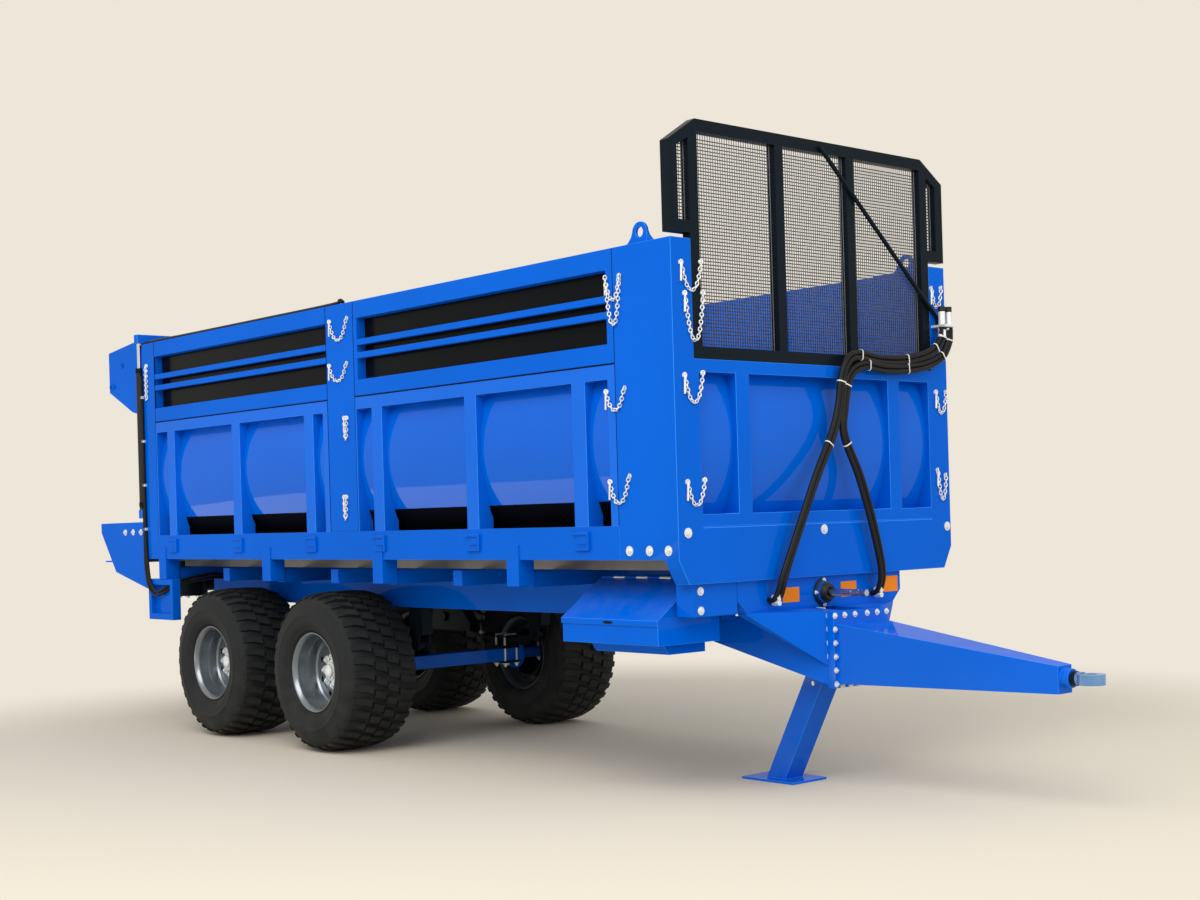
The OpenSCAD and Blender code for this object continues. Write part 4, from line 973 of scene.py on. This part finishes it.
flange_s = -0.210
flange_half = 0.1905
seal_s = -1.380
root_half, root_low, root_high = 0.180, 0.525, 0.810
ground_copy("towing_eye", 0.010, blued_steel, "eye")
ground_copy("stand_barrel", 0.003, satin_black, "stand_cylinder")
ground_copy("stand_rod", 0.003, chrome, "stand_piston")

places = [(y, z) for y in (-flange_half, flange_half)
          for z in (0.525, 0.590, 0.655, 0.720, 0.785, 0.850)]
places += [(y, 0.850) for y in (-0.120, -0.045, 0.045, 0.120)]
places += [(y, 0.5145) for y in steps(-0.150, 0.150, 5)]
fasteners("flange_bolts", [(at(flange_s, y, z), (1, 0, 0)) for y, z in places],
          (0.0165, 0.010, 0.004))
fasteners("flange_nuts", [(at(flange_s + 0.040, y, z), (-1, 0, 0))
          for y, z in places if abs(y) > 0.16 and z > 0.6], (0.0165, 0.012, 0.008))
shape = bmesh.new()
turned(shape, [(0.0, 0.0), (0.030, 0.0), (0.033, 0.004), (0.033, 0.022),
               (0.027, 0.028), (0.0, 0.028)], at(seal_s, 0, 0.600), (1, 0, 0), 32,
       closed=False)
beaded("eye_shank_seal", shape, satin_black)
corners = [(-root_half, root_high), (root_half, root_high), (root_half, root_low),
           (-root_half, root_low), (-root_half, root_high)]
weld_lines("drawbar_weld", [[at(flange_s, y, z) for start, end in
           zip(corners, corners[1:]) for y, z in zip(steps(start[0], end[0], 60),
                                                     steps(start[1], end[1], 60))]],
           0.0035)

# ---------------------------------------------------------------- Drive stub and guard
# The splined stub takes the tractor's shaft. A black moulded guard is bolted round
# it on the girder, and orange plates warn beside it; they are left blank.
bare_steel = metal("bare_steel", "machined_steel", (0.42, 0.43, 0.45),
                   (0.62, 0.63, 0.65), 40.0, 0.22, 0.40)
moulded_black = enamel("black_paint", "moulded_black", (0.012, 0.012, 0.013),
                       gloss=0.45, dust=0.25, coat=0.0, shine=0.3)
orange_film = enamel("label_orange", "orange_film", (0.80, 0.22, 0.012),
                     gloss=0.3, dust=0.05, coat=0.3)
pto_z = 0.950
stub_r = 0.0175
collar_l, collar_r = 0.09, 0.042
band_s = 0.030
spline = []
for k in range(6):
    for turn, r in ((-14, 0.0150), (-13, stub_r), (13, stub_r), (14, 0.0150)):
        a, b = on_circle(r, math.radians(60 * k + turn))
        spline.append((a, pto_z + b))
groove = [(a, pto_z + b) for a, b in (on_circle(0.0148, angle) for angle in
                                      steps(0, full_turn, 24)[:-1])]
shape = bmesh.new()
for outline, start, end in ((spline, -0.250, -0.212), (groove, -0.212, -0.204),
                            (spline, -0.204, -0.160)):
    plate(shape, outline, start, end, across=True)
for start, end, r, sides in ((-0.160, 0.001, stub_r, 24), (0.0, 0.034, 0.0225, 24),
        (0.033, 5.569, 0.030, 36),
        *((s, s + collar_l, collar_r, 36) for s in (0.9, 2.35, 3.77, 5.2))):
    bar(shape, at(start, 0, pto_z), at(end, 0, pto_z), r, sides)
beaded("splined_drive", shape, bare_steel, body="driveline", instead=["drive_shaft"])

shape = bmesh.new()
turned(shape, [(0.0245, 0.0), (0.066, 0.0), (0.066, 0.010), (0.052, 0.014),
               (0.046, 0.040), (0.038, 0.052), (0.0245, 0.052)],
       at(band_s, 0, pto_z), (1, 0, 0), 48)
beaded("stub_guard", shape, moulded_black)
guard_bolts = [on_circle(0.059, angle) for angle in (0.0, 1.57, 3.14, 4.71)]
fasteners("guard_bolts", [(at(band_s - 0.010, a, pto_z + b), (1, 0, 0))
                          for a, b in guard_bolts], (0.013, 0.008, 0.004))
shape = bmesh.new()
for y, z, high in ((-0.230, 0.948, 0.072), (0.195, 0.956, 0.076),
                   (0.520, 0.966, 0.080)):
    block(shape, (band_s - 0.0015, band_s), (y - 0.059, y + 0.059),
          (z - high / 2, z + high / 2))
beaded("blank_plates", shape, orange_film, 0.0005)

# ---------------------------------------------------------------- Tool box and tank
# The tool box is folded sheet with a sloping lid on a long hinge, and a slot to
# pull it up by. The oil tank beside it has a breather cap and a drain.
lid_hinge_y, lid_hinge_z = -0.737, 1.049
shape = bmesh.new()
for s in steps(0.165, 0.825, 8)[:-1:2]:
    bar(shape, at(s, lid_hinge_y, lid_hinge_z), at(s + 0.078, lid_hinge_y, lid_hinge_z),
        0.0075, 16)
beaded("hinge_knuckles", shape, zinc)
pull_s, pull_z, pull_half_l, pull_half_h = 0.4955, 0.8505, 0.036, 0.0075
shape = bmesh.new()
plate(shape, [(pull_s + pull_half_l * math.cos(a), pull_z + pull_half_h * math.sin(a))
              for a in steps(0, full_turn, 20)[:-1]], -1.0068, -1.0050)
beaded("lid_pull", shape, ("black_coat", satin_black[1]), body="lid")
tank_low, tank_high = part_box("oil_tank")
shape = bmesh.new()
turned(shape, [(0.0, 0.0), (0.034, 0.0), (0.034, 0.006), (0.030, 0.008), (0.030, 0.024),
               (0.026, 0.028), (0.0, 0.028)],
       (tank_low.x - 0.0005, tank_low.y + 0.10, 0.990), (-1, 0, 0), 28, closed=False)
beaded("tank_cap", shape, moulded_black)
fasteners("tank_drain", [((tank_high.x, tank_low.y + 0.05, tank_low.z + up), (1, 0, 0))
                         for up in (0.03, 0.12)], (0.022, 0.010, 0.002))

# ---------------------------------------------------------------- Hoses
# Two pairs of rubber hoses run from the girder's ports up the front wall, along
# the screen's bottom rail and up to the couplings on the left pillar.
hose_rubber = enamel("hose_rubber", "hose_rubber", (0.010, 0.010, 0.011),
                     gloss=0.36, dust=0.1, coat=0.0, shine=0.15)
white_nylon = enamel(None, "white_nylon", (0.74, 0.74, 0.70), gloss=0.4,
                     dust=0.1, coat=0.0, shine=0.4)


def through(points, parts=8):
    """A smooth line through points."""
    points = [Vector(p) for p in points]
    line = []
    for k in range(len(points) - 1):
        a, b = points[max(0, k - 1)], points[k]
        c, d = points[k + 1], points[min(len(points) - 1, k + 2)]
        for t in steps(0.0, 1.0, parts)[:-1]:
            line.append(0.5 * (2 * b + (c - a) * t
                               + (2 * a - 5 * b + 4 * c - d) * t * t
                               + (3 * b - a - 3 * c + d) * t ** 3))
    return line + [points[-1]]


rack_s, rack_z = -0.056, 2.292
hose_r, hose_gap = 0.0128, 0.0131
right_route = [(0.030, -0.375, 0.930), (0.0, -0.375, 0.930), (-0.028, -0.370, 0.965),
    (-0.045, -0.345, 1.060), (-0.052, -0.230, 1.300), (-0.050, -0.110, 1.520),
    (-0.046, 0.020, 1.720), (-0.040, 0.080, 1.850), (-0.040, 0.110, 2.000),
    (-0.048, 0.150, 2.090), (-0.050, 0.230, 2.120), (-0.044, 0.400, 2.105),
    (-0.040, 0.600, 2.110), (-0.046, 0.760, 2.140), (-0.052, 0.850, 2.180),
    (rack_s, 0.897, rack_z - 0.062), (rack_s, 0.900, rack_z - 0.030),
    (rack_s, 0.900, rack_z)]
left_route = [(0.030, 0.380, 0.930), (0.0, 0.380, 0.930), (-0.028, 0.376, 0.965),
    (-0.045, 0.365, 1.060), (-0.052, 0.290, 1.300), (-0.050, 0.210, 1.520),
    (-0.046, 0.110, 1.720), (-0.040, 0.122, 1.850), (-0.040, 0.152, 1.980),
    (-0.048, 0.200, 2.045), (-0.050, 0.290, 2.072), (-0.044, 0.430, 2.060),
    (-0.040, 0.600, 2.064), (-0.046, 0.780, 2.090), (-0.052, 0.900, 2.140),
    (rack_s, 0.950, rack_z - 0.082), (rack_s, 0.955, rack_z - 0.030),
    (rack_s, 0.955, rack_z)]


def beside(line, aside, phase):
    """A line's neighbour, lying beside it and wandering a little to the front."""
    moved = []
    for k, spot in enumerate(line):
        ahead = line[min(k + 1, len(line) - 1)] - line[max(k - 1, 0)]
        across = ahead.cross(Vector((1, 0, 0)))
        across = across.normalized() if across.length > 1e-6 else Vector((0, 1, 0))
        moved.append(spot + across * aside
                     + Vector((0.0025 * math.sin(0.19 * k + phase), 0, 0)))
    return moved


def band(shape, centre, ahead, wide, deep, length):
    """A tie: a flat ring round two hoses that lie side by side."""
    ahead = Vector(ahead).normalized()
    across = ahead.cross(Vector((1, 0, 0))).normalized()
    over = ahead.cross(across)
    loops = []
    for grow, end in ((0.0, -0.5), (0.0014, -0.5), (0.0014, 0.5), (0.0, 0.5)):
        loop = []
        for angle in steps(0, full_turn, 24)[:-1]:
            a, b = on_circle(deep + grow, angle)
            a += wide * (1 if math.cos(angle) > 0 else -1)
            loop.append(shape.verts.new(Vector(centre) + across * a + over * b
                                        + ahead * end * length))
        loops.append(loop)
    for first, second in zip(loops, loops[1:] + loops[:1]):
        for k in range(24):
            j = (k + 1) % 24
            shape.faces.new((first[k], first[j], second[j], second[k]))


hose_lines = []
ties = bmesh.new()
fittings = bmesh.new()
for route, phase in ((right_route, 0.0), (left_route, 2.0)):
    line = [at(*spot) for spot in through(route)]
    hose_lines += [beside(line, hose_gap, phase), beside(line, -hose_gap, phase + 1.3)]
    for share in (0.34, 0.47, 0.60, 0.72, 0.83, 0.90):
        k = int(share * (len(line) - 1))
        band(ties, line[k] + Vector((0.0008, 0, 0)), line[k + 1] - line[k - 1],
             hose_gap, 0.0139, 0.0065)
    for aside in (-hose_gap, hose_gap):
        y, z = line[0].y, line[0].z + aside
        bar(fittings, at(0.012, y, z), at(-0.030, y, z), 0.0150, 6)
        y = line[-1].y + aside
        bar(fittings, at(rack_s, y, rack_z - 0.050), at(rack_s, y, rack_z - 0.004),
            0.0125, 18)
rods("hose_pairs", hose_lines, hose_r, 14, hose_rubber, ["hoses"])
beaded("hose_ties", ties, white_nylon)
beaded("hose_fittings", fittings, zinc, 0.0008)
ground_copy("coupler_rack", 0.002, zinc)
shape = bmesh.new()
for y in (0.900, 0.955):
    bar(shape, at(rack_s, y, rack_z + 0.080), at(rack_s, y, rack_z + 0.108), 0.0195)
beaded("coupling_sleeves", shape, moulded_black, 0.002)

# ---------------------------------------------------------------- Lanyard chains
# Short zinc chains hang from the walls' corners with the locking pins of the
# removable side extensions.

# Chain along lines, every second link turned by a quarter
chain_tree, given, end = new_tree("chain_along_lines", ("Pitch", "Float", 0.017),
    ("Wire", "Float", 0.0032), ("Width", "Float", 0.0080), ("Sides", "Int", 5))
lines = out(chain_tree, "GeometryNodeMeshToCurve", {0: given["Geometry"]})
beads = out(chain_tree, "GeometryNodeResampleCurve", {"Curve": lines,
            "Length": given["Pitch"]}, mode="LENGTH")
squeeze = out(chain_tree, "ShaderNodeCombineXYZ", {0: scaled(chain_tree,
              given["Pitch"], 0.66), 1: given["Width"], 2: 1.0})
loop = out(chain_tree, "GeometryNodeTransform", {0: circle(chain_tree, 12, 1.0),
           "Scale": squeeze})
link = out(chain_tree, "GeometryNodeCurveToMesh", {"Curve": loop,
           "Profile Curve": circle(chain_tree, given["Sides"], given["Wire"])})
along = out(chain_tree, "FunctionNodeAlignRotationToVector", {
            "Vector": out(chain_tree, "GeometryNodeInputTangent")}, axis="X")
odd = calc(chain_tree, "MODULO", out(chain_tree, "GeometryNodeInputIndex"), 2.0)
quarter = out(chain_tree, "ShaderNodeCombineXYZ", {0: scaled(chain_tree, odd,
              math.pi / 2, math.pi / 4)})
turned_link = out(chain_tree, "FunctionNodeRotateRotation", {"Rotation": along,
                  "Rotate By": quarter}, rotation_space="LOCAL")
end_tree(chain_tree, given, end, spaced_copies(chain_tree, beads, link, turned_link))


def chains(name, lines, finish, **sizes):
    add_piece(name, grown(name, chain_tree, line_mesh(name, lines), finish[1], 80.0,
                          **sizes), finish)


def sagging(start, end, low, count=24):
    """A chain's line between two places, hanging down to a height."""
    depth = (start.z + end.z) / 2 - low
    return [start.lerp(end, t) - Vector((0, 0, depth * (1 - abs(2 * t - 1) ** 2.4)))
            for t in steps(0.0, 1.0, count)]


# Along the walls: (s or y of one end, its z, the other end, its z, lowest point)
side_chains = ((0.443, 2.478, 0.344, 2.475, 2.370), (0.443, 2.478, 0.344, 2.475, 2.252),
    (0.460, 1.941, 0.332, 1.950, 1.852), (0.450, 1.515, 0.315, 1.538, 1.414),
    (2.859, 2.521, 2.678, 2.525, 2.408), (2.872, 2.267, 2.692, 2.269, 2.173),
    (2.728, 1.956, 2.704, 1.956, 1.830), (2.752, 1.504, 2.730, 1.504, 1.372),
    (5.176, 2.462, 5.191, 2.455, 2.231))
front_chains = ((-0.941, 2.500, -0.813, 2.510, 2.377), (-0.922, 2.360, -0.806, 2.368, 2.148),
    (-0.937, 1.986, -0.821, 1.999, 1.864), (-0.937, 1.499, -0.828, 1.507, 1.393),
    (0.898, 1.955, 0.983, 1.958, 1.846), (0.896, 1.545, 0.963, 1.518, 1.392),
    (0.885, 2.500, 0.966, 2.507, 2.400))
stand_off = 0.007
chain_lines, pins, anchors = [], [], []


def lanyard(start, end, low, outwards, along):
    """A chain between two places on a wall, with its anchors and its pin."""
    outwards = Vector(outwards)
    anchors.extend((place, outwards) for place in (start, end))
    start, end = start + outwards * stand_off, end + outwards * stand_off
    chain_lines.append(sagging(start, end, low))
    pins.append([start, start + Vector(along) * 0.004 - Vector((0, 0, 0.085))])


for a, a_z, b, b_z, low in side_chains:
    for hand in hands:
        lanyard(at(a, hand * half_w, a_z), at(b, hand * half_w, b_z), low,
                (0, hand, 0), (-1, 0, 0))
for a, a_z, b, b_z, low in front_chains:
    lanyard(at(0, a, a_z), at(0, b, b_z), low, (1, 0, 0), (0, -1, 0))
chains("lanyard_chains", chain_lines, zinc)
rods("locking_pins", pins, 0.0055, 12, zinc)
fasteners("lanyard_anchors", anchors, (0.013, 0.006, 0.006))

# ---------------------------------------------------------------- Bolts on the box
# Domed bolts close the front pillars, and hooks for hand forks are welded under
# the ribs. Seams are welded and ground before painting.
rib_places = (0.6705, 1.5385, 2.4065, 3.1265, 3.9945, 4.8625)
stake_places = (1.210, 2.430, 3.650, 5.020)
bolts = [(at(s, hand * half_w, 1.188), (0, hand, 0)) for s in (0.066, 0.193, 0.330)
         for hand in hands]
bolts += [(at(0, y, z), (1, 0, 0)) for y, z in ((-0.940, 1.267), (-0.010, 1.259),
                                                (0.967, 1.248))]
fasteners("pillar_bolts", bolts, (0.026, 0.010, 0.004))
shape = bmesh.new()
for s in rib_places:
    for hand in hands:
        plate(shape, [(s + along, z) for along, z in (
            (0.060, 1.279), (-0.060, 1.279), (-0.060, 1.190), (0.046, 1.190),
            (0.046, 1.202), (-0.044, 1.202), (-0.044, 1.264), (0.060, 1.264))],
            hand * (half_w - 0.001), hand * (half_w + 0.014))
beaded("fork_hooks", shape, blue, 0.003)

# Webs that spread the load of the lifting eyes into the box's top
shape = bmesh.new()
for y in (half_w - 0.033, 0.021 - half_w):
    for end in (-1, 1):
        plate(shape, [(0.225 + end * a, box_top_z + b) for a, b in
                      ((0.046, -0.001), (0.104, -0.001), (0.080, 0.012), (0.060, 0.034),
                       (0.0485, 0.060), (0.042, 0.060))], y, y + 0.012)
beaded("eye_webs", shape, blue, 0.002)

seams = []
for hand in hands:
    y = hand * (half_w + 0.0002)
    for s in stake_places:
        for edge in (-0.052, 0.052):
            seams.append([at(s + edge, y, z) for z in steps(1.150, 1.218, 14)])
        seams.append([at(a, y, 1.2215) for a in steps(s - 0.050, s + 0.050, 20)])
weld_lines("stake_welds", seams, 0.003)

# ---------------------------------------------------------------- Floor conveyor
# Two slatted conveyors run over a steel floor. Each has a pair of link chains round
# shafts at both ends, with channel slats bolted across them.
floor_steel = metal("floor_steel", "floor_plate", (0.10, 0.095, 0.09),
                    (0.28, 0.27, 0.26), 7.0, 0.35, 0.65, dust=0.3)
chain_steel = metal("chain_steel", "oiled_chain", (0.045, 0.040, 0.036),
                    (0.15, 0.14, 0.13), 60.0, 0.30, 0.55, dust=0.15)
conveyor_s, conveyor_end_s = 0.160, 5.334
loop_z = 1.137
chain_r = 0.025
slat_pitch = 0.400
slat_section = ((-0.020, 0.0), (-0.020, 0.0075), (-0.015, 0.008), (0.015, 0.008),
                (0.020, 0.0075), (0.020, 0.0), (0.016, 0.0), (0.014, 0.004),
                (-0.014, 0.004), (-0.016, 0.0))
strand_places = [hand * y for hand in hands for y in (0.067, 0.633)]
ground_copy("floor", 0.0, floor_steel)
run = steps(conveyor_s, conveyor_end_s, 40)
loops = []
for y in strand_places:
    line = []
    for strand, end_s, sign in ((run, conveyor_end_s, 1), (run[::-1], conveyor_s, -1)):
        line += [at(s, y, loop_z + sign * chain_r) for s in strand]
        line += [at(end_s + sign * chain_r * math.sin(a), y,
                    loop_z + sign * chain_r * math.cos(a))
                 for a in steps(0.2, math.pi, 8)]
    loops.append(line)
chains("conveyor_chains", loops, chain_steel, Pitch=0.036, Wire=0.0052, Width=0.0085,
       Sides=6)
shape = bmesh.new()
slat_bolts = []
for k in range(int((conveyor_end_s - conveyor_s) / slat_pitch) + 1):
    s = conveyor_s + k * slat_pitch
    for hand in hands:
        for z, sign in ((loop_z + 0.036, 1), (loop_z - 0.036, -1)):
            plate(shape, [(s + along, z + sign * up) for along, up in slat_section],
                  hand * 0.025, hand * 0.675)
            for y in (hand * 0.067, hand * 0.633):
                block(shape, (s - 0.014, s + 0.014), (y - 0.020, y + 0.020),
                      (z, z - sign * 0.010))
                slat_bolts += [(at(s, y + aside, z + sign * 0.0075), (0, 0, sign))
                               for aside in (-0.016, 0.016)]
beaded("conveyor_slats", shape, chain_steel, instead=["conveyor"])
fasteners("slat_bolts", slat_bolts, (0.013, 0.005, 0.001), chain_steel)
shape = bmesh.new()
for s, reach in ((conveyor_s, 0.90), (conveyor_end_s, 0.955)):
    for y, half, r, sides in ((0.0, reach, 0.0135, 24),
                              *((y, 0.0035, 0.0255, 8) for y in strand_places)):
        bar(shape, at(s, y - half, loop_z), at(s, y + half, loop_z), r, sides)
beaded("conveyor_shafts", shape, chain_steel)

# ---------------------------------------------------------------- Rear gate rams
# Two hydraulic cylinders lift the gate. Their hoses are clipped along the rear
# posts and loop under the corners to the chassis.
ram_s = 5.290
ram_low, ram_top = 1.484, 2.434
side_y = half_w + 0.012
ground_copy("gate_rods", 0.0, chrome, "gate")
ground_copy("gate_barrels", 0.003, moulded_black)

# Routes on the left side as (s, y, z) points, with the steps between two points
ram_routes = (
    (8, ((ram_s - 0.020, side_y, ram_top - 0.030), (ram_s - 0.036, side_y, ram_top - 0.034),
         (5.242, side_y, ram_top - 0.070), (5.240, side_y, 2.300), (5.240, side_y, 1.900),
         (5.240, side_y, 1.500), (5.236, side_y, 1.250), (5.225, side_y, 1.120),
         (5.190, side_y, 0.985), (5.110, side_y - 0.01, 0.925),
         (5.020, side_y - 0.04, 0.960), (4.960, 0.90, 1.000), (4.930, 0.70, 1.030),
         (4.920, 0.55, 1.020))),
    (8, ((ram_s - 0.004, side_y, ram_low + 0.030), (5.262, side_y, 1.470),
         (5.256, side_y, 1.400), (5.258, side_y, 1.200), (5.250, side_y, 1.060),
         (5.205, side_y, 0.945), (5.120, side_y - 0.01, 0.900),
         (5.020, side_y - 0.04, 0.935), (4.960, 0.90, 0.975), (4.930, 0.70, 1.005),
         (4.920, 0.55, 1.000))),
    (14, ((5.262, 0.985, 2.585), (5.200, 0.985, 2.622), (4.600, 0.980, 2.623),
          (3.600, 0.982, 2.622), (2.860, 0.980, 2.624), (2.790, 0.975, 2.640),
          (2.766, 0.970, 2.630), (2.764, 0.970, 2.616))))
glands = bmesh.new()
clips = bmesh.new()
ram_hoses, guide_bolts, plugs = [], [], []
for hand in hands:
    y = hand * half_w
    turned(glands, [(0.0142, -0.012), (0.029, -0.012), (0.029, 0.014), (0.026, 0.020),
                    (0.0142, 0.020)], at(ram_s, y, ram_top), count=32)
    turned(glands, [(0.0252, 0.0), (0.028, 0.0), (0.028, 0.030), (0.0252, 0.030)],
           at(ram_s, y, ram_low + 0.02), count=32)
    bar(glands, at(2.764, hand * 0.970, 2.612), at(2.764, hand * 0.970, 2.632), 0.012, 6)
    ram_hoses += [[at(s, hand * y, z) for s, y, z in through(route, parts)]
                  for parts, route in ram_routes]
    for z in (2.250, 1.950, 1.650, 1.350):
        block(clips, (5.228, 5.252), (y, y + hand * 0.020), (z - 0.009, z + 0.009))
    for heads, spots in ((guide_bolts, ((5.40, 1.33), (5.52, 1.33), (5.64, 1.33))),
                         (plugs, ((5.62, 2.505), (5.76, 2.365), (5.80, 2.365)))):
        heads += [(at(s, hand * 0.967, z), (0, hand, 0)) for s, z in spots]
beaded("ram_glands", glands, satin_black)
rods("ram_hoses", ram_hoses, 0.0100, 12, hose_rubber)
beaded("hose_clips", clips, zinc, 0.002)
fasteners("cheek_bolts", guide_bolts, (0.024, 0.010, 0.006))
fasteners("cheek_plugs", plugs, (0.026, 0.008, 0.004), blue)

# ---------------------------------------------------------------- Beaters
# Two upright screws throw the load. Their flights are rolled plate on a tube, with
# bolted teeth that wear bright; a covered gearbox drives them from below.
worn_steel = metal("bare_steel", "worn_edges", (0.20, 0.19, 0.18),
                   (0.46, 0.45, 0.43), 35.0, 0.30, 0.55)
beater_s, beater_y = 5.690, 0.440
screw_low, screw_high = 1.190, 2.420
core_r, flight_r = 0.070, 0.290
flight_low, flight_h = 1.198, 1.200
screw_pitch = 0.520
tooth_count = 9
screw_outline = [(0.0, 1.042), (0.040, 1.042), (0.040, screw_low), (0.306, screw_low),
    (0.310, 1.193), (0.310, 1.199), (0.306, 1.202), (core_r, 1.202),
    (core_r, screw_high), (0.030, screw_high), (0.030, 2.560), (0.0, 2.560)]
blade = ((0.250, -0.020), (0.318, -0.020), (0.330, -0.006), (0.330, 0.020),
         (0.312, 0.030), (0.250, 0.030))
ground_copy("beater_drive", 0.006, satin_black)
drive_bolts = [(at(beater_s - 0.095 * math.cos(a), y + 0.095 * math.sin(a), 0.860),
                (0, 0, -1)) for y in (-beater_y, beater_y)
               for a in steps(0, full_turn, 8)[:-1]]
drive_bolts += [(at(beater_s + 0.120, y, z), (-1, 0, 0))
                for y in (-0.095, 0.095) for z in (0.885, 0.985, 1.085)]
fasteners("gearbox_bolts", drive_bolts, (0.019, 0.010, 0.004))


def on_flight(core_y, hand, start, height):
    """The axes of a beater's flight at a height, X pointing away from the core."""
    angle = start + hand * full_turn * height / screw_pitch
    return Matrix.Translation(at(beater_s, core_y, flight_low + height)) \
        @ Matrix.Rotation(angle, 4, "Z")


for side, hand in (("right", 1), ("left", -1)):
    body = "beater_" + side[0]
    centre_y = -hand * beater_y
    screw, teeth = bmesh.new(), bmesh.new()
    tooth_bolts = []
    turned(screw, screw_outline, at(beater_s, centre_y, 0), closed=False)
    for start in (0.0, math.pi):
        def flight_point(r, z, depth, start=start):
            return on_flight(centre_y, hand, start, z) @ Vector((r, 0, depth))
        bent_sheet(screw, steps(core_r - 0.004, flight_r, 4), steps(0, flight_h, 110),
                   flight_point)
        for k in range(1, tooth_count + 1):
            place = on_flight(centre_y, hand, start, k * flight_h / (tooth_count + 0.4))
            prism(teeth, [[place @ Vector((r, aside, up)) for r, up in blade]
                          for aside in (-0.006, 0.006)])
            tooth_bolts += [(place @ Vector((r, -0.006, 0.019)),
                             place.to_3x3() @ Vector((0, -1, 0)))
                            for r in (0.262, 0.286)]
    beaded("beater_screw_" + side, screw, worn_blue, body=body,
           instead=["beater_" + side])
    beaded("beater_teeth_" + side, teeth, worn_steel, 0.001, body)
    fasteners("tooth_bolts_" + side, tooth_bolts, (0.014, 0.007, 0.003), body=body)
